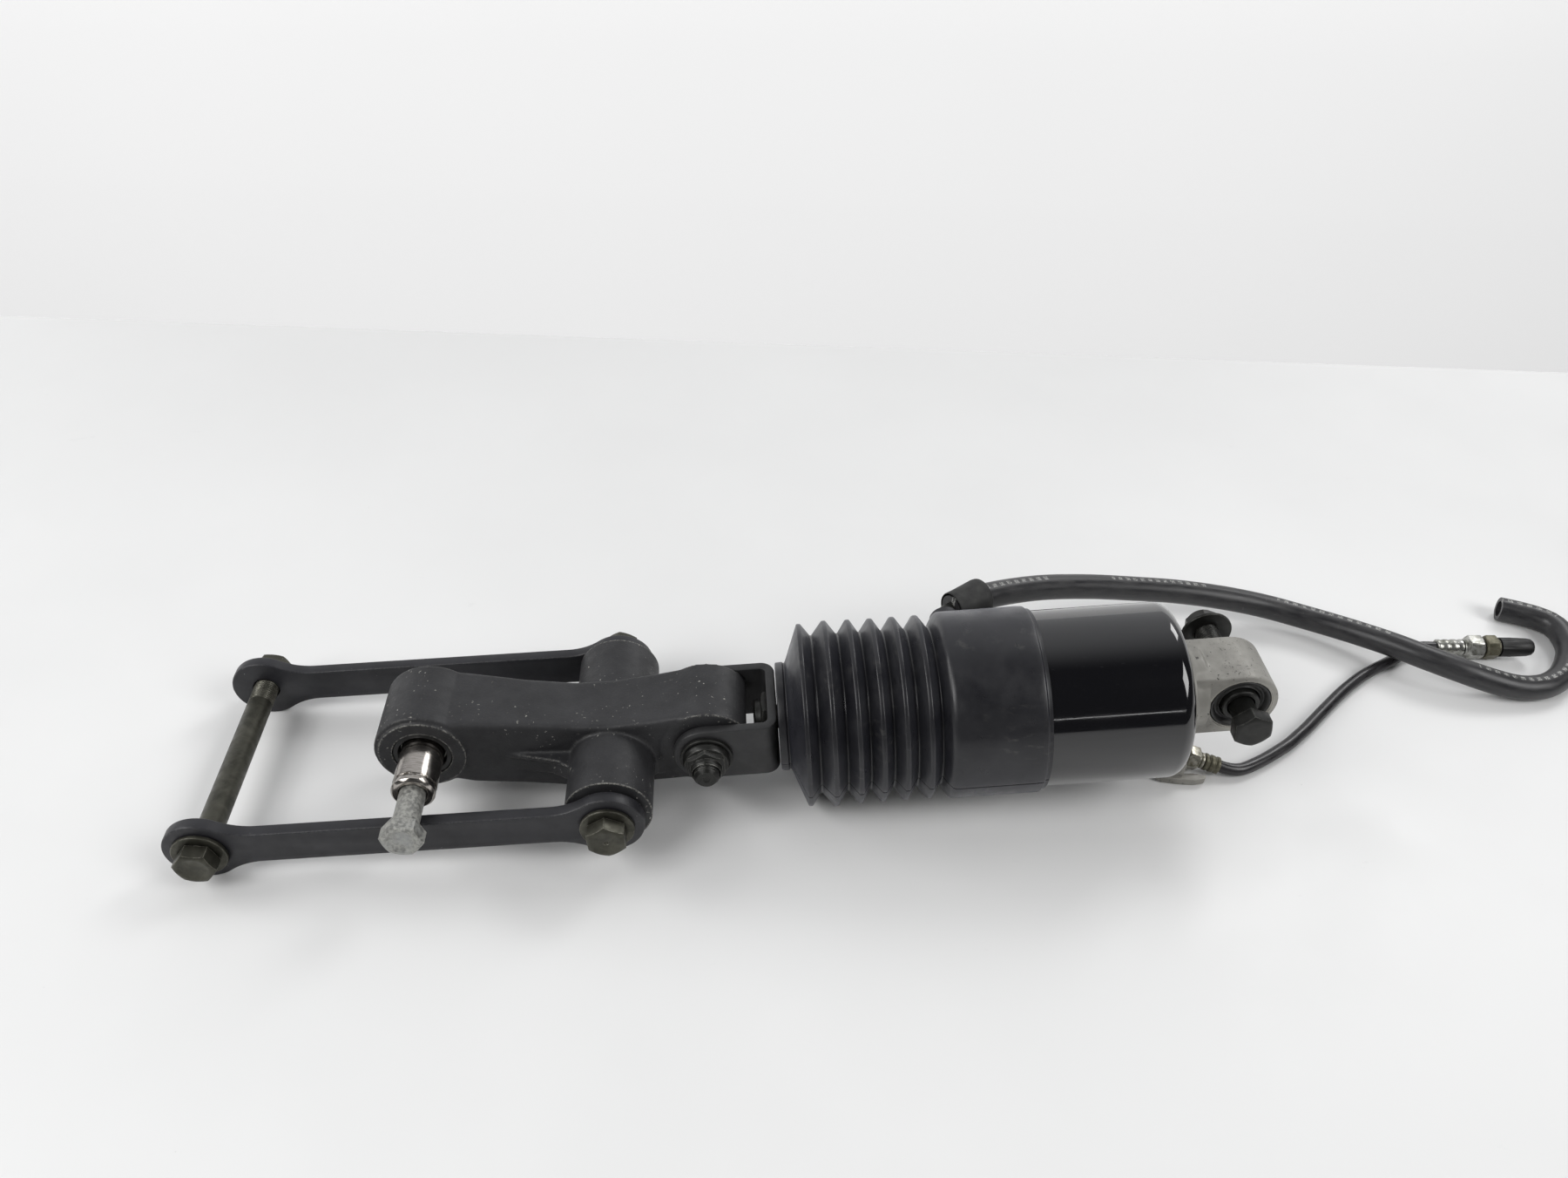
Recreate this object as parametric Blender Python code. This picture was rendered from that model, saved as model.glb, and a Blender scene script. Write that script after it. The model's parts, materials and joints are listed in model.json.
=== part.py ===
"""Air-assisted rear shock absorber with its suspension linkage, lying on a bench.

The assembly is a shock absorber (air can, dust boot, clevis), a forged relay arm hinged in the
clevis, two link arms hinged on the relay arm, the bolts that hold them, and two hoses.
Metres, +Z up. Every hinge axis runs along Y, and the bench top is Z = 0.
The bench frame has X = 0 at the shock's lower pivot. All of it hangs on the empty "assembly",
which moves the whole object so that its origin is the bottom centre of its box without hoses.
"""

import math

import bmesh
import bpy
from mathutils import Vector

# ---------------------------------------------------------------- driving dimensions
# Bench frame: X = 0 at the shock's lower pivot, Y = 0 the plane of symmetry.
SHOCK_PIVOT = (0.0, 0.0, 0.0402)
SHOCK_TILT = math.radians(4.84)
EYE_STATION = 0.2566
LINK_PIVOT = (-0.0451, 0.0, 0.0304)
LINK_SLOPE = math.radians(4.15)
LINK_LENGTH = 0.1843
FRAME_PIVOT = (-0.13305, 0.0, 0.03993)

GAP = 0.0003
BOLT_RADIUS = 0.006
BOLT_HOLE_RADIUS = 0.0064
HEX_FLATS = 0.017
SLEEVE_RADIUS = 0.009
SLEEVE_HOLE_RADIUS = 0.0094

# Air can and boot, by station along the shock's axis from its lower pivot.
CAN_RADIUS = 0.0427
CAN_WALL = 0.0018
CAN_START = 0.1135
CAN_END = 0.2270
CAN_SHOULDER = 0.0075
CAP_HOLE_RADIUS = 0.0262
SLEEVE_START = 0.1178
SLEEVE_END = 0.1596
BOOT_SLEEVE_RADIUS = 0.0453
BOOT_NECK_START = 0.0366
BOOT_NECK_RADIUS = 0.0255
BOOT_WALL = 0.0023
FIN_TIPS = ((0.0478, 0.0443), (0.0601, 0.0450), (0.0717, 0.0447),
            (0.0826, 0.0445), (0.0934, 0.0445), (0.1046, 0.0445))
FIN_VALLEYS = (0.0534, 0.0661, 0.0768, 0.0878, 0.0989, 0.1102)
VALLEY_RADIUS = 0.0377

# Upper end cap.
EYE_RADIUS = 0.0181
EYE_HALF_WIDTH = 0.01515
EYE_BORE_RADIUS = 0.0148
BUSH_RADIUS = 0.0145

# Damper and spring inside the can.
ROD_RADIUS = 0.0060
ROD_START = 0.0231
ROD_END = 0.1675
TUBE_RADIUS = 0.0200
TUBE_START = 0.1200
TUBE_END = 0.2147
SPRING_START = 0.0517
SPRING_END = 0.2005
SPRING_RADIUS = 0.0290
SPRING_WIRE_RADIUS = 0.0042
SPRING_TURNS = 8

# Clevis.
CLEVIS_HALF_WIDTH = 0.0227
CLEVIS_PLATE = 0.0045
CLEVIS_HALF_HEIGHT = 0.0155
CLEVIS_BASE_OUTER = 0.0345
CLEVIS_BEND_RADIUS = 0.0070

# Relay arm: (x, top z, bottom z, half width) down its bar, in the bench frame.
BAR_STATIONS = ((-0.1290, 0.0590, 0.0240, 0.0190), (-0.1110, 0.0575, 0.0185, 0.0181),
                (-0.0870, 0.0551, 0.0150, 0.0162), (-0.0630, 0.0530, 0.0120, 0.0159),
                (-0.0460, 0.0535, 0.0125, 0.0166), (-0.0250, 0.0570, 0.0165, 0.0172),
                (-0.0050, 0.0615, 0.0190, 0.0174))
BAR_CORNER = 0.0035
FRAME_BOSS = (0.0201, 0.0197)
LINK_BOSS = (0.0203, 0.0484)
SHOCK_BOSS = (0.0222, 0.0176)
RELAY_BORE_RADIUS = 0.0138
SEAL_WIDTH = 0.0035

# Frame pivot collar and bolt, drawn part of the way out of the relay arm.
COLLAR_RADIUS = 0.0100
COLLAR_NEAR_END = -0.0440
COLLAR_LENGTH = 0.0520
PIVOT_BOLT_HEAD = -0.0713

# Link arms.
ARM_INNER_FACE = 0.0501
ARM_THICKNESS = 0.0060
ARM_EYE_RADIUS = 0.0170
ARM_HALF_HEIGHT = 0.0092
WASHER_RADIUS = 0.0125
WASHER_THICKNESS = 0.0020
NUT_THICKNESS = 0.0090

# Hoses: centre lines in the bench frame, chosen by hand.
AIR_HOSE_DIAMETER = 0.0065
AIR_HOSE_ROUTE = (
    (0.2643, -0.0022, 0.0050), (0.2695, -0.0035, 0.0040), (0.2754, -0.0034, 0.0034),
    (0.2818, -0.0010, 0.0033), (0.2904, 0.0033, 0.0033), (0.2992, 0.0085, 0.0033),
    (0.3084, 0.0144, 0.0033), (0.3154, 0.0200, 0.0033), (0.3224, 0.0257, 0.0033),
    (0.3375, 0.0392, 0.0033), (0.3529, 0.0526, 0.0033), (0.3677, 0.0638, 0.0033),
    (0.3800, 0.0713, 0.0033), (0.3888, 0.0758, 0.0034), (0.3962, 0.0799, 0.0036),
    (0.4040, 0.0846, 0.0040), (0.4128, 0.0878, 0.0048), (0.4222, 0.0870, 0.0055))
BREATHER_HOSE_DIAMETER = 0.0140
BREATHER_HOSE_ROUTE = (
    (0.1275, 0.0603, 0.0602), (0.1322, 0.0632, 0.0600), (0.1385, 0.0671, 0.0594),
    (0.1475, 0.0725, 0.0580), (0.1640, 0.0815, 0.0540), (0.1860, 0.0915, 0.0484),
    (0.2140, 0.1012, 0.0408), (0.2430, 0.1090, 0.0328), (0.2725, 0.1150, 0.0254),
    (0.3010, 0.1172, 0.0190), (0.3276, 0.1148, 0.0142), (0.3515, 0.1065, 0.0118),
    (0.3723, 0.0935, 0.0128), (0.3900, 0.0785, 0.0152), (0.4045, 0.0665, 0.0158),
    (0.4205, 0.0578, 0.0142), (0.4353, 0.0530, 0.0112), (0.4485, 0.0508, 0.0084),
    (0.4590, 0.0504, 0.0073), (0.4712, 0.0528, 0.0072), (0.4848, 0.0617, 0.0072),
    (0.4985, 0.0790, 0.0072), (0.5030, 0.0945, 0.0072), (0.5016, 0.1040, 0.0072),
    (0.4955, 0.1102, 0.0072), (0.4864, 0.1152, 0.0072), (0.4768, 0.1191, 0.0072))

# The object's box without its hoses, in the bench frame, sets where the origin lies.
BOX_LEFT = LINK_PIVOT[0] - LINK_LENGTH * math.cos(LINK_SLOPE) - ARM_EYE_RADIUS
BOX_RIGHT = EYE_STATION * math.cos(SHOCK_TILT) + EYE_RADIUS
BOX_NEAR = PIVOT_BOLT_HEAD
BOX_FAR = 0.0692
LOWEST = 0.00007

BLACK_PAINT = ((0.016, 0.016, 0.017), 0.42, 0.0)
GLOSS_BLACK = ((0.008, 0.008, 0.009), 0.12, 0.0)
FORGED_BLACK = ((0.022, 0.022, 0.023), 0.62, 0.0)
DARK_STEEL = ((0.10, 0.10, 0.09), 0.45, 1.0)
BRIGHT_STEEL = ((0.55, 0.54, 0.52), 0.25, 1.0)
ZINC = ((0.42, 0.42, 0.40), 0.48, 1.0)
CAST_ALUMINIUM = ((0.44, 0.43, 0.41), 0.55, 1.0)
BRASS = ((0.55, 0.47, 0.28), 0.35, 1.0)
RUBBER = ((0.014, 0.014, 0.016), 0.55, 0.0)
SPRING_BLUE = ((0.05, 0.09, 0.20), 0.40, 0.0)
PLASTIC = ((0.012, 0.012, 0.012), 0.40, 0.0)


# ---------------------------------------------------------------- building tools
def clear_scene():
    for item in list(bpy.data.objects):
        bpy.data.objects.remove(item, do_unlink=True)


def empty(name, place, turn=(0.0, 0.0, 0.0), parent=None):
    item = bpy.data.objects.new(name, None)
    bpy.context.collection.objects.link(item)
    item.location = place
    item.rotation_euler = turn
    item.parent = parent
    item.empty_display_size = 0.01
    return item


def paint(item, look):
    colour, roughness, metallic = look
    material = bpy.data.materials.new(item.name + "_finish")
    material.use_nodes = True
    shader = material.node_tree.nodes["Principled BSDF"]
    shader.inputs["Base Color"].default_value = (*colour, 1.0)
    shader.inputs["Roughness"].default_value = roughness
    shader.inputs["Metallic"].default_value = metallic
    item.data.materials.append(material)


def add_object(name, mesh_tool, look, parent, place=(0.0, 0.0, 0.0), turn=(0.0, 0.0, 0.0)):
    """An object from a bmesh, with its faces turned outwards and its round faces smooth."""
    bmesh.ops.recalc_face_normals(mesh_tool, faces=mesh_tool.faces)
    mesh = bpy.data.meshes.new(name)
    mesh_tool.to_mesh(mesh)
    mesh_tool.free()
    mesh.shade_smooth()
    mesh.set_sharp_from_angle(angle=math.radians(35))
    item = bpy.data.objects.new(name, mesh)
    bpy.context.collection.objects.link(item)
    item.parent = parent
    item.location = place
    item.rotation_euler = turn
    if look:
        paint(item, look)
    return item


def ring_radius(radius, angle, hexagonal):
    """A circle's radius, or the radius of a hexagon whose flats are 2 * radius apart."""
    if not hexagonal:
        return radius
    sixth = math.pi / 3
    return radius / math.cos(angle % sixth - sixth / 2)


def turned(name, rings, look, parent, place=(0.0, 0.0, 0.0), turn=(0.0, 0.0, 0.0), sides=24,
           hollow=False):
    """A body turned about its own X axis. Each ring is (station, radius) or, for a hexagonal
    section, (station, half the width across its flats, "hex"). A hollow body's rings go once
    round its wall, and may touch the axis; a solid body's first and last rings have radius 0."""
    shape = bmesh.new()
    rows = []
    for station, radius, *hexagonal in rings:
        if radius == 0:
            rows.append([shape.verts.new((station, 0, 0))])
            continue
        row = []
        for step in range(sides):
            angle = 2 * math.pi * step / sides
            reach = ring_radius(radius, angle, bool(hexagonal))
            row.append(shape.verts.new((station, reach * math.cos(angle), reach * math.sin(angle))))
        rows.append(row)
    pairs = list(zip(rows, rows[1:]))
    if hollow:
        pairs.append((rows[-1], rows[0]))
    for first, second in pairs:
        if len(first) == 1 and len(second) == 1:
            continue
        for step in range(sides):
            after = (step + 1) % sides
            if len(first) == 1:
                shape.faces.new((first[0], second[step], second[after]))
            elif len(second) == 1:
                shape.faces.new((first[step], first[after], second[0]))
            else:
                shape.faces.new((first[step], first[after], second[after], second[step]))
    return add_object(name, shape, look, parent, place, turn)


def washer_rings(start, end, outer, inner):
    """The four corners of a plain ring's wall."""
    return ((start, inner), (start, outer), (end, outer), (end, inner))


def ring(name, start, end, outer, inner, look, parent, **options):
    return turned(name, washer_rings(start, end, outer, inner), look, parent, hollow=True, **options)


def prism(name, outline, start, end, axis, look, parent, place=(0.0, 0.0, 0.0)):
    """An outline in the plane across the axis, extruded from start to end along it.
    Axis "Y" takes (x, z) points and axis "Z" takes (x, y) points."""
    shape = bmesh.new()
    if axis == "Y":
        corners = [shape.verts.new((a, start, b)) for a, b in outline]
        along = (0, end - start, 0)
    else:
        corners = [shape.verts.new((a, b, start)) for a, b in outline]
        along = (0, 0, end - start)
    face = shape.faces.new(corners)
    raised = bmesh.ops.extrude_face_region(shape, geom=[face])
    moved = [item for item in raised["geom"] if isinstance(item, bmesh.types.BMVert)]
    bmesh.ops.translate(shape, verts=moved, vec=along)
    return add_object(name, shape, look, parent, place)


def box(name, low, high, parent):
    outline = ((low[0], low[2]), (high[0], low[2]), (high[0], high[2]), (low[0], high[2]))
    return prism(name, outline, low[1], high[1], "Y", None, parent)


def rod_along_y(name, radius, half_length, parent, place=(0.0, 0.0, 0.0), sides=24):
    rings = ((-half_length, 0), (-half_length, radius), (half_length, radius), (half_length, 0))
    return turned(name, rings, None, parent, place, (0, 0, math.pi / 2), sides)


def combine(item, tool, operation):
    """A Boolean step on item. The tool stays in the file as a guide."""
    tool.hide_render = True
    tool.display_type = "WIRE"
    step = item.modifiers.new(tool.name, "BOOLEAN")
    step.operation = operation
    step.object = tool
    step.solver = "EXACT"


def arc(centre, radius, first, last, steps):
    """Points on an arc, by angles in degrees."""
    points = []
    for step in range(steps + 1):
        angle = math.radians(first + (last - first) * step / steps)
        points.append((centre[0] + radius * math.cos(angle), centre[1] + radius * math.sin(angle)))
    return points


def smooth_path(route, spacing):
    """Evenly spaced points on a smooth curve through the route's points."""
    points = [Vector(point) for point in route]
    ends = [2 * points[0] - points[1]] + points + [2 * points[-1] - points[-2]]
    fine = []
    steps = 24
    for before, start, end, after in zip(ends, ends[1:], ends[2:], ends[3:]):
        for step in range(steps):
            t = step / steps
            fine.append(0.5 * (2 * start + (end - before) * t
                               + (2 * before - 5 * start + 4 * end - after) * t ** 2
                               + (3 * start - before - 3 * end + after) * t ** 3))
    fine.append(points[-1])
    length = sum((b - a).length for a, b in zip(fine, fine[1:]))
    count = max(2, round(length / spacing))
    path = [fine[0]]
    walked = 0.0
    for a, b in zip(fine, fine[1:]):
        piece = (b - a).length
        while len(path) < count and walked + piece >= length * len(path) / count:
            path.append(a.lerp(b, (length * len(path) / count - walked) / piece))
        walked += piece
    path.append(fine[-1])
    return path


def tube(name, path, radius, look, parent, resolution=2):
    """A tube with closed ends along a path."""
    curve = bpy.data.curves.new(name, "CURVE")
    curve.dimensions = "3D"
    curve.bevel_depth = radius
    curve.bevel_resolution = resolution
    curve.use_fill_caps = True
    line = curve.splines.new("POLY")
    line.points.add(len(path) - 1)
    for point, place in zip(line.points, path):
        point.co = (*place, 1.0)
    line.use_smooth = True
    item = bpy.data.objects.new(name, curve)
    bpy.context.collection.objects.link(item)
    item.parent = parent
    paint(item, look)
    return item


# ---------------------------------------------------------------- fasteners
FACING_FAR = (0.0, 0.0, math.pi / 2)
FACING_NEAR = (0.0, 0.0, -math.pi / 2)
HEAD_HEIGHT = 0.0075


def bolt(name, head_face, length, look, parent, turn, axis=(0.0, 0.0)):
    """A hexagon bolt along Y. Its head's front is at Y = head_face; turn says which way it points.
    length runs from the front of the head to the tip; axis is the (x, z) of its axis."""
    flat = HEX_FLATS / 2
    tip = BOLT_RADIUS - 0.0010
    rings = ((0, 0), (0, flat * 0.92), (0.0009, flat, "hex"), (HEAD_HEIGHT, flat, "hex"),
             (HEAD_HEIGHT, BOLT_RADIUS), (length - 0.0012, BOLT_RADIUS), (length, tip), (length, 0))
    return turned(name, rings, look, parent, (axis[0], head_face, axis[1]), turn, sides=18)


def nut(name, face, look, parent, turn, flange=0.0, axis=(0.0, 0.0), thickness=NUT_THICKNESS):
    """A hexagon nut whose bearing face is at Y = face, with a round flange if one is given."""
    flat = HEX_FLATS / 2
    hole = BOLT_RADIUS + GAP
    rings = [(0, hole)]
    if flange:
        rings += [(0, flange), (0.0016, flange), (0.0030, flat * 1.16)]
    rings += [(0.0031 if flange else 0, flat, "hex"), (thickness - 0.0009, flat, "hex"),
              (thickness, flat * 0.92), (thickness, hole)]
    return turned(name, rings, look, parent, (axis[0], face, axis[1]), turn, sides=18, hollow=True)


def bearing_set(label, boss_half, parent, place, bore=SLEEVE_HOLE_RADIUS):
    """A needle bearing and the two seals that close its bore, along Y."""
    half = boss_half - 2 * GAP - SEAL_WIDTH
    outer = RELAY_BORE_RADIUS - GAP
    ring(label + "_bearing", -half, half, outer, bore, BRIGHT_STEEL, parent,
         place=place, turn=FACING_FAR, sides=20)
    inner_face = half + GAP
    for side, sign in (("near", -1), ("far", 1)):
        start, end = sorted((sign * inner_face, sign * (inner_face + SEAL_WIDTH)))
        ring(label + "_seal_" + side, start, end, outer, bore, RUBBER, parent,
             place=place, turn=FACING_FAR, sides=20)


# ---------------------------------------------------------------- shock absorber, fixed side
def make_air_can(shock):
    corner = (CAN_END - CAN_SHOULDER, CAN_RADIUS - CAN_SHOULDER)
    outside = arc(corner, CAN_SHOULDER, 90, 0, 3)
    inside = arc(corner, CAN_SHOULDER - CAN_WALL, 0, 90, 2)
    rings = [(CAN_START, CAN_RADIUS), *outside, (CAN_END, CAP_HOLE_RADIUS),
             (CAN_END - CAN_WALL, CAP_HOLE_RADIUS), *inside, (CAN_START, CAN_RADIUS - CAN_WALL)]
    turned("air_can", rings, GLOSS_BLACK, shock, sides=40, hollow=True)


def make_upper_end_cap(shock, bench):
    flange = 0.0310
    outline = [(0.2290, -EYE_RADIUS), *arc((EYE_STATION, 0), EYE_RADIUS, -90, 90, 12),
               (0.2290, EYE_RADIUS)]
    cap = prism("upper_end_cap", outline, -EYE_HALF_WIDTH, EYE_HALF_WIDTH, "Y",
                CAST_ALUMINIUM, shock)
    spigot = CAP_HOLE_RADIUS - 0.0004
    plug = turned("cap_plug", ((0.2150, 0), (0.2150, spigot), (0.2273, spigot), (0.2273, flange),
                               (0.2302, flange), (0.2302, 0)), None, shock)
    combine(cap, plug, "UNION")
    lug = box("port_lug", (0.2299, -0.0060, 0.0100), (0.2375, 0.0100, 0.0460), bench)
    foot = box("port_foot", (0.2303, -0.0080, LOWEST), (0.2442, 0.0115, 0.0142), bench)
    toe = box("port_toe", (0.2425, -0.0110, LOWEST + GAP), (0.2560, -0.0064, 0.0046), bench)
    for piece in (lug, foot, toe):
        combine(cap, piece, "UNION")
    bore = rod_along_y("eye_bore", EYE_BORE_RADIUS, 0.03, shock, (EYE_STATION, 0, 0), 28)
    combine(cap, bore, "DIFFERENCE")


def boot_wall():
    """The boot's outer line from neck to sleeve end: (station, radius) points."""
    line = [(BOOT_NECK_START, BOOT_NECK_RADIUS), (0.0395, BOOT_NECK_RADIUS + 0.0010)]
    for tip, valley in zip(FIN_TIPS, FIN_VALLEYS):
        line.append(tip)
        line.append((valley, VALLEY_RADIUS))
    line += [(0.1122, 0.0415), (0.1143, 0.0441), (SLEEVE_START, BOOT_SLEEVE_RADIUS)]
    line += [(SLEEVE_END - 0.0008, BOOT_SLEEVE_RADIUS), (SLEEVE_END, BOOT_SLEEVE_RADIUS - 0.0008)]
    return line


def make_dust_boot(shock):
    """Bellows and the sleeve that grips the can, one rubber moulding."""
    outside = boot_wall()
    grip = CAN_RADIUS + GAP
    inside = [(SLEEVE_END, grip), (0.1131, grip), (0.1125, 0.0390)]
    for tip, valley in zip(reversed(FIN_TIPS), reversed(FIN_VALLEYS)):
        inside.append((valley, VALLEY_RADIUS - BOOT_WALL))
        inside.append((tip[0], tip[1] - 0.0034))
    inside += [(0.0405, BOOT_NECK_RADIUS - 0.0015), (BOOT_NECK_START, BOOT_NECK_RADIUS - BOOT_WALL)]
    boot = turned("dust_boot", outside + inside, RUBBER, shock, sides=40, hollow=True)
    saddle = turned("nipple_saddle", ((0, 0), (0, 0.0085), (0.0150, 0.0075), (0.0150, 0)), None,
                    shock, (0.1240, 0.0385, 0.0090), FACING_FAR, sides=20)
    can_space = turned("can_space", ((0.110, 0), (0.110, grip + GAP), (0.162, grip + GAP),
                                     (0.162, 0)), None, shock, sides=36)
    combine(saddle, can_space, "DIFFERENCE")
    combine(boot, saddle, "UNION")


def make_damper(shock):
    inner = CAN_RADIUS - CAN_WALL - GAP
    ring("boot_retainer_ring", CAN_START, CAN_START + 0.0050, inner, 0.0342, DARK_STEEL, shock)
    ring("damper_tube", TUBE_START, TUBE_END, TUBE_RADIUS, TUBE_RADIUS - 0.0020, DARK_STEEL, shock)
    ring("rod_guide", TUBE_START - 0.0010, 0.1320, TUBE_RADIUS - 0.0023, ROD_RADIUS + GAP,
         CAST_ALUMINIUM, shock, sides=20)
    ring("spring_upper_seat", 0.2050, 0.2085, 0.0338, TUBE_RADIUS + 0.0004, DARK_STEEL, shock)


def make_spring(shock):
    steps = SPRING_TURNS * 14
    path = []
    for step in range(steps + 1):
        share = step / steps
        angle = 2 * math.pi * SPRING_TURNS * share
        station = SPRING_START + (SPRING_END - SPRING_START) * share
        path.append((station, SPRING_RADIUS * math.cos(angle), SPRING_RADIUS * math.sin(angle)))
    tube("main_spring", path, SPRING_WIRE_RADIUS, SPRING_BLUE, shock, resolution=1)


def make_eye_bush(shock):
    half = EYE_HALF_WIDTH - 0.0004
    ring("upper_eye_bush", -half, half, BUSH_RADIUS, 0.0094, RUBBER, shock,
         place=(EYE_STATION, 0, 0), turn=FACING_FAR)


# ---------------------------------------------------------------- shock absorber, moving side
def make_rod(shock):
    """The damper rod with its piston, bump stop and lower spring seat."""
    rings = ((ROD_START, 0), (ROD_START, ROD_RADIUS - 0.0008), (ROD_START + 0.0008, ROD_RADIUS),
             (ROD_END, ROD_RADIUS), (ROD_END, 0))
    turned("damper_rod", rings, BRIGHT_STEEL, shock, sides=20)
    hole = ROD_RADIUS + GAP
    ring("piston", 0.1530, 0.1640, 0.0172, hole, CAST_ALUMINIUM, shock, sides=20)
    ring("bump_stop", 0.0520, 0.0680, 0.0135, hole, RUBBER, shock, sides=20)
    ring("spring_lower_seat", 0.0446, 0.0470, 0.0330, hole, DARK_STEEL, shock)


def make_clevis(shock):
    """A plate bent to a U, with rounded ends round the pivot."""
    outer = CLEVIS_HALF_WIDTH
    inner = outer - CLEVIS_PLATE
    base = CLEVIS_BASE_OUTER
    bend = CLEVIS_BEND_RADIUS
    tight = bend - CLEVIS_PLATE
    end = -CLEVIS_HALF_HEIGHT - 0.002
    near_bend = arc((base - bend, -outer + bend), bend, -90, 0, 4)
    far_bend = arc((base - bend, outer - bend), bend, 0, 90, 4)
    far_inner = arc((base - bend, outer - bend), tight, 90, 0, 3)
    near_inner = arc((base - bend, -outer + bend), tight, 0, -90, 3)
    section = [(end, -outer), *near_bend, *far_bend, (end, outer), (end, inner), *far_inner,
               *near_inner, (end, -inner)]
    height = CLEVIS_HALF_HEIGHT
    bracket = prism("clevis_bracket", section, -height, height, "Z", BLACK_PAINT, shock)
    side = [*arc((0, 0), height - 0.00002, 90, 270, 10), (0.05, -0.02), (0.05, 0.02)]
    profile = prism("clevis_profile", side, -0.04, 0.04, "Y", None, shock)
    combine(bracket, profile, "INTERSECT")
    bore = rod_along_y("clevis_bore", BOLT_HOLE_RADIUS, 0.04, shock, sides=20)
    rod_hole = turned("clevis_rod_hole", ((0.02, 0), (0.02, ROD_RADIUS + GAP), (0.05, ROD_RADIUS + GAP),
                                          (0.05, 0)), None, shock, sides=20)
    combine(bracket, bore, "DIFFERENCE")
    combine(bracket, rod_hole, "DIFFERENCE")
    hole = ROD_RADIUS + GAP
    inner_face = base - CLEVIS_PLATE - GAP
    flats = 0.0110
    turned("rod_nut", ((inner_face - 0.0062, hole), (inner_face - 0.0062, 0.0090),
                       (inner_face - 0.0030, 0.0090), (inner_face - 0.0030, flats, "hex"),
                       (inner_face, flats, "hex"), (inner_face, hole)), DARK_STEEL, shock,
           sides=18, hollow=True)


def make_clevis_bolt(shock):
    face = CLEVIS_HALF_WIDTH + GAP
    head_front = face + HEAD_HEIGHT
    bolt("clevis_bolt", head_front, head_front + 0.03795, DARK_STEEL, shock, FACING_NEAR)
    washer = -(face + WASHER_THICKNESS)
    ring("clevis_washer", washer, -face, WASHER_RADIUS, BOLT_RADIUS + GAP, BRIGHT_STEEL, shock,
         turn=FACING_FAR, sides=20)
    nut("clevis_nut", washer - GAP, DARK_STEEL, shock, FACING_NEAR, flange=0.0112)
    half = CLEVIS_HALF_WIDTH - CLEVIS_PLATE - GAP
    ring("clevis_sleeve", -half, half, SLEEVE_RADIUS, BOLT_RADIUS + GAP, BRIGHT_STEEL, shock,
         turn=FACING_FAR, sides=20)


# ---------------------------------------------------------------- relay arm
def bar_section(shape, station):
    """One rounded section of the relay arm's bar, as a loop of vertices."""
    x, top, bottom, half = station
    corner = BAR_CORNER
    corners = (((half - corner, top - corner), 0), ((-half + corner, top - corner), 90),
               ((-half + corner, bottom + corner), 180), ((half - corner, bottom + corner), 270))
    loop = []
    for centre, first in corners:
        for y, z in arc(centre, corner, first, first + 90, 2):
            loop.append(shape.verts.new((x, y, z)))
    return loop


def make_relay_arm(relay, bench):
    """A bar lofted through its sections, three bosses and their bores."""
    shape = bmesh.new()
    loops = [bar_section(shape, station) for station in BAR_STATIONS]
    for first, second in zip(loops, loops[1:]):
        for step, corner in enumerate(first):
            after = (step + 1) % len(first)
            shape.faces.new((corner, first[after], second[after], second[step]))
    shape.faces.new(loops[0])
    shape.faces.new(loops[-1])
    offset = [-value for value in SHOCK_PIVOT]
    arm = add_object("relay_arm", shape, FORGED_BLACK, relay, offset)
    for label, place, (radius, half) in (("frame", FRAME_PIVOT, FRAME_BOSS),
                                         ("link", LINK_PIVOT, LINK_BOSS),
                                         ("shock", SHOCK_PIVOT, SHOCK_BOSS)):
        combine(arm, rod_along_y(label + "_boss", radius, half, bench, place, 32), "UNION")
    for label, place in (("frame", FRAME_PIVOT), ("link", LINK_PIVOT), ("shock", SHOCK_PIVOT)):
        bore = rod_along_y(label + "_bore", RELAY_BORE_RADIUS, 0.06, bench, place, 24)
        combine(arm, bore, "DIFFERENCE")


def from_shock_pivot(place):
    return tuple(a - b for a, b in zip(place, SHOCK_PIVOT))


def make_relay_bearings(relay):
    bearing_set("shock_pivot", SHOCK_BOSS[1], relay, (0, 0, 0))
    bearing_set("link_pivot", LINK_BOSS[1], relay, from_shock_pivot(LINK_PIVOT))
    bearing_set("frame_pivot", FRAME_BOSS[1], relay, from_shock_pivot(FRAME_PIVOT),
                bore=COLLAR_RADIUS + 0.0004)


def make_frame_pivot(bench):
    """The collar and bolt that stand part of the way out of the relay arm's frame end."""
    collar_axis = empty("frame_pivot_axis", FRAME_PIVOT, parent=bench)
    start = COLLAR_NEAR_END
    end = start + COLLAR_LENGTH
    bevel = 0.0010
    rings = ((start, BOLT_HOLE_RADIUS), (start, COLLAR_RADIUS - bevel), (start + bevel, COLLAR_RADIUS),
             (end - bevel, COLLAR_RADIUS), (end, COLLAR_RADIUS - bevel), (end, BOLT_HOLE_RADIUS))
    turned("frame_pivot_collar", rings, BRIGHT_STEEL, collar_axis, turn=FACING_FAR, hollow=True)
    bolt("frame_pivot_bolt", PIVOT_BOLT_HEAD, 0.0930, ZINC, collar_axis, FACING_FAR)


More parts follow.
